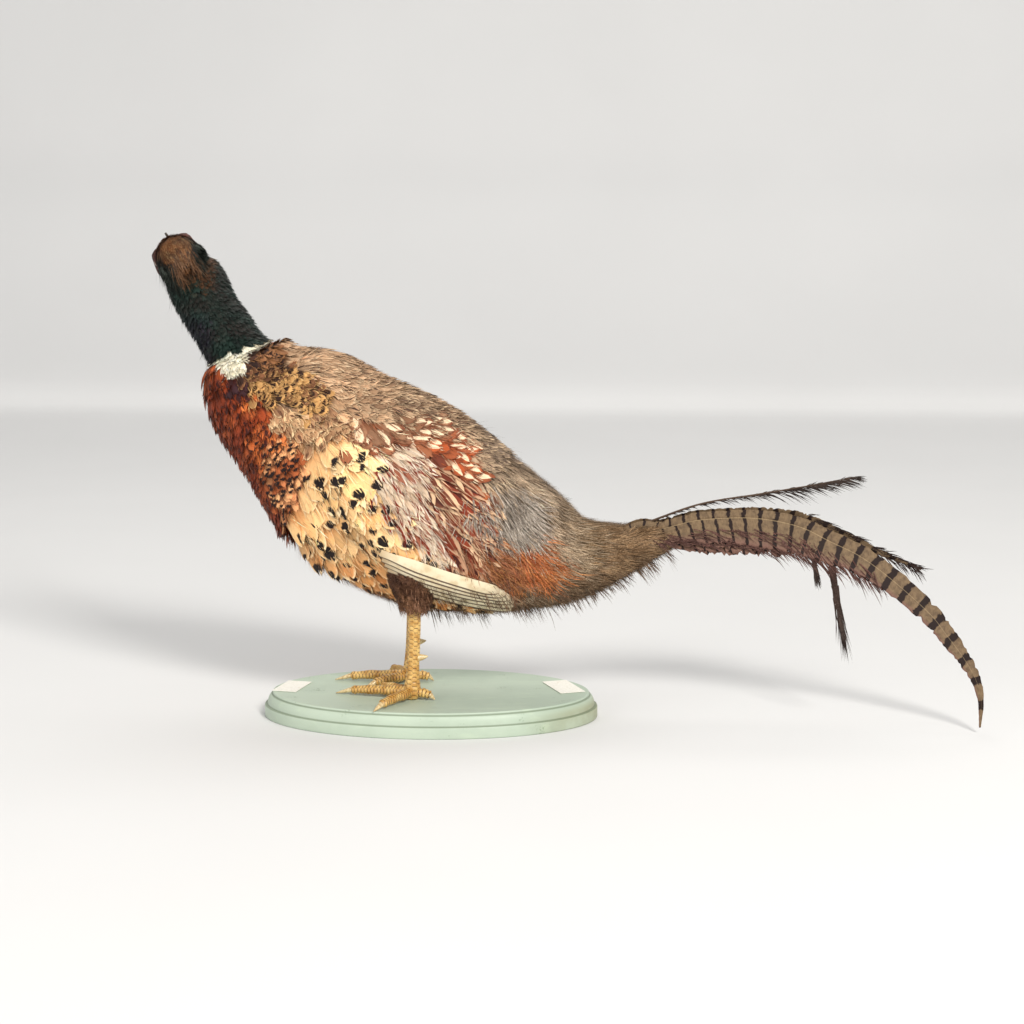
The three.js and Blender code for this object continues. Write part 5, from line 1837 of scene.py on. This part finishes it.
def make_stage():
    """A pale floor that curves up behind, soft lights and the camera."""
    run = np.array([[-14, 0], [-2.2, 0], [1.6, 0], [2.2, 0.08], [2.6, 0.35], [2.8, 0.9], [2.85, 3.2]])
    bend = through(run, np.linspace(0, len(run) - 1, 60))[:, None]
    points = joined(np.linspace(-8, 8, 3), bend[..., 0], np.maximum(bend[..., 1], 0))
    floor_mesh = bpy.data.meshes.new("floor")
    floor_mesh.from_pydata(points.reshape(-1, 3).tolist(), [], grid_quads(60, 3, False).tolist())
    wires = new_material("Pale floor", Roughness=0.9)
    floor_mesh.materials.append(wires.finish(wires.mix(
        wires.noise(3, 2), paint(216, 216, 216), paint(222, 222, 222))))
    placed("floor", floor_mesh)
    lamps = (
        ("key", (1.4, -2.6, 2.1), 0.8, 114.0), ("fill", (-2.2, -2.0, 1.2), 1.8, 24.0),
        ("top", (0.2, 1.0, 2.6), 1.8, 22.0),
    )
    for name, at, size, watts in lamps:
        lamp = bpy.data.lights.new(name, "AREA")
        lamp.energy = watts
        lamp.size = size
        lamp.color = (1.0, 0.97, 0.92)
        aim = (Vector((0.1, 0.0, 0.2)) - Vector(at)).to_track_quat("-Z", "Y")
        placed(name, lamp).matrix_world = Matrix.Translation(at) @ aim.to_matrix().to_4x4()
    world = bpy.data.worlds.new("studio")
    world.use_nodes = True
    sky = world.node_tree.nodes["Background"]
    sky.inputs[0].default_value = WHITE
    sky.inputs[1].default_value = 0.5
    bpy.context.scene.world = world
    bpy.context.scene.view_settings.view_transform = "Standard"
    camera = placed("camera", bpy.data.cameras.new("camera"))
    camera.data.lens = CAMERA["lens"]
    camera.location = CAMERA["at"]
    camera.rotation_euler = (math.radians(90 - CAMERA["fall"]), 0, math.radians(CAMERA["turn"]))
    bpy.context.scene.camera = camera


# ---- operators


class PHEASANT_OT_stage(bpy.types.Operator):
    """Make the floor, the lights and the camera"""

    bl_idname = "pheasant.stage"
    bl_label = "Stage"

    def execute(self, context):
        make_stage()
        return {"FINISHED"}


class PHEASANT_OT_base(bpy.types.Operator):
    """Make the oval base and its labels' paper"""

    bl_idname = "pheasant.base"
    bl_label = "Base"

    def execute(self, context):
        make_board()
        dress_labels()
        return {"FINISHED"}


class PHEASANT_OT_skin(bpy.types.Operator):
    """Make the one skin of head, neck, trunk and thighs"""

    bl_idname = "pheasant.skin"
    bl_label = "Skin"

    def execute(self, context):
        make_skin()
        return {"FINISHED"}


class PHEASANT_OT_coat(bpy.types.Operator):
    """Make the feathers of neck, trunk and thighs, one piece to a plumage"""

    bl_idname = "pheasant.coat"
    bl_label = "Coat"

    def execute(self, context):
        for name in PLUMAGE:
            make_body_coat(name)
        for word in FEET:
            make_thigh_coat(word)
            make_cuff(word)
        make_fringe()
        return {"FINISHED"}


class PHEASANT_OT_head(bpy.types.Operator):
    """Make the crown, face, eyes, lids, bill and ear tufts"""

    bl_idname = "pheasant.head"
    bl_label = "Head"

    def execute(self, context):
        make_head_coat()
        make_nape()
        make_bill()
        for word, side in SIDES.items():
            make_wattle(word, side)
            make_eye(word, side)
            make_lids(word, side)
            make_ear_tuft(word, side)
        return {"FINISHED"}


class PHEASANT_OT_wings(bpy.types.Operator):
    """Make the folded flight feathers"""

    bl_idname = "pheasant.wings"
    bl_label = "Wings"

    def execute(self, context):
        for word, side in SIDES.items():
            make_flights(word, side)
        return {"FINISHED"}


class PHEASANT_OT_tail(bpy.types.Operator):
    """Make the tail feathers, their loose barbs, the stray plume and the hanging locks"""

    bl_idname = "pheasant.tail"
    bl_label = "Tail"

    def execute(self, context):
        for word in SIDES:
            loosen_tail(word, make_tail_feather(word, 0))
            for order in range(1, len(TAIL_DROP)):
                make_tail_feather(word, order)
        make_stray()
        for number, shape in enumerate(LOCKS, 1):
            make_lock(number, shape)
        return {"FINISHED"}


class PHEASANT_OT_legs(bpy.types.Operator):
    """Make the shanks, toes, claws and spurs"""

    bl_idname = "pheasant.legs"
    bl_label = "Legs"

    def execute(self, context):
        for word, foot in FEET.items():
            make_shank(word)
            make_spur(word)
            for toe in foot["toes"]:
                make_toe(word, toe)
        return {"FINISHED"}


OPERATORS = (
    PHEASANT_OT_stage, PHEASANT_OT_base, PHEASANT_OT_skin, PHEASANT_OT_coat, PHEASANT_OT_head,
    PHEASANT_OT_wings, PHEASANT_OT_tail, PHEASANT_OT_legs,
)


class PHEASANT_PT_panel(bpy.types.Panel):
    """Sizes, colours and the steps that make the bird"""

    bl_label = "Mounted Pheasant"
    bl_idname = "PHEASANT_PT_panel"
    bl_space_type = "VIEW_3D"
    bl_region_type = "UI"
    bl_category = "Pheasant"

    def draw(self, context):
        for group in (context.scene.pheasant_sizes, context.scene.pheasant_colours):
            for key in group.__annotations__:
                self.layout.prop(group, key)
        for operator in OPERATORS:
            self.layout.operator(operator.bl_idname)


CLASSES = (PheasantSizes, PheasantColours, *OPERATORS, PHEASANT_PT_panel)


def register():
    for cls in CLASSES:
        bpy.utils.register_class(cls)
    bpy.types.Scene.pheasant_sizes = PointerProperty(type=PheasantSizes)
    bpy.types.Scene.pheasant_colours = PointerProperty(type=PheasantColours)


def unregister():
    del bpy.types.Scene.pheasant_colours
    del bpy.types.Scene.pheasant_sizes
    for cls in reversed(CLASSES):
        bpy.utils.unregister_class(cls)


def main():
    register()
    bpy.ops.pheasant.stage()
    bpy.ops.pheasant.base()
    bpy.ops.pheasant.skin()
    bpy.ops.pheasant.coat()
    bpy.ops.pheasant.head()
    bpy.ops.pheasant.wings()
    bpy.ops.pheasant.tail()
    bpy.ops.pheasant.legs()


if __name__ == "__main__":
    main()
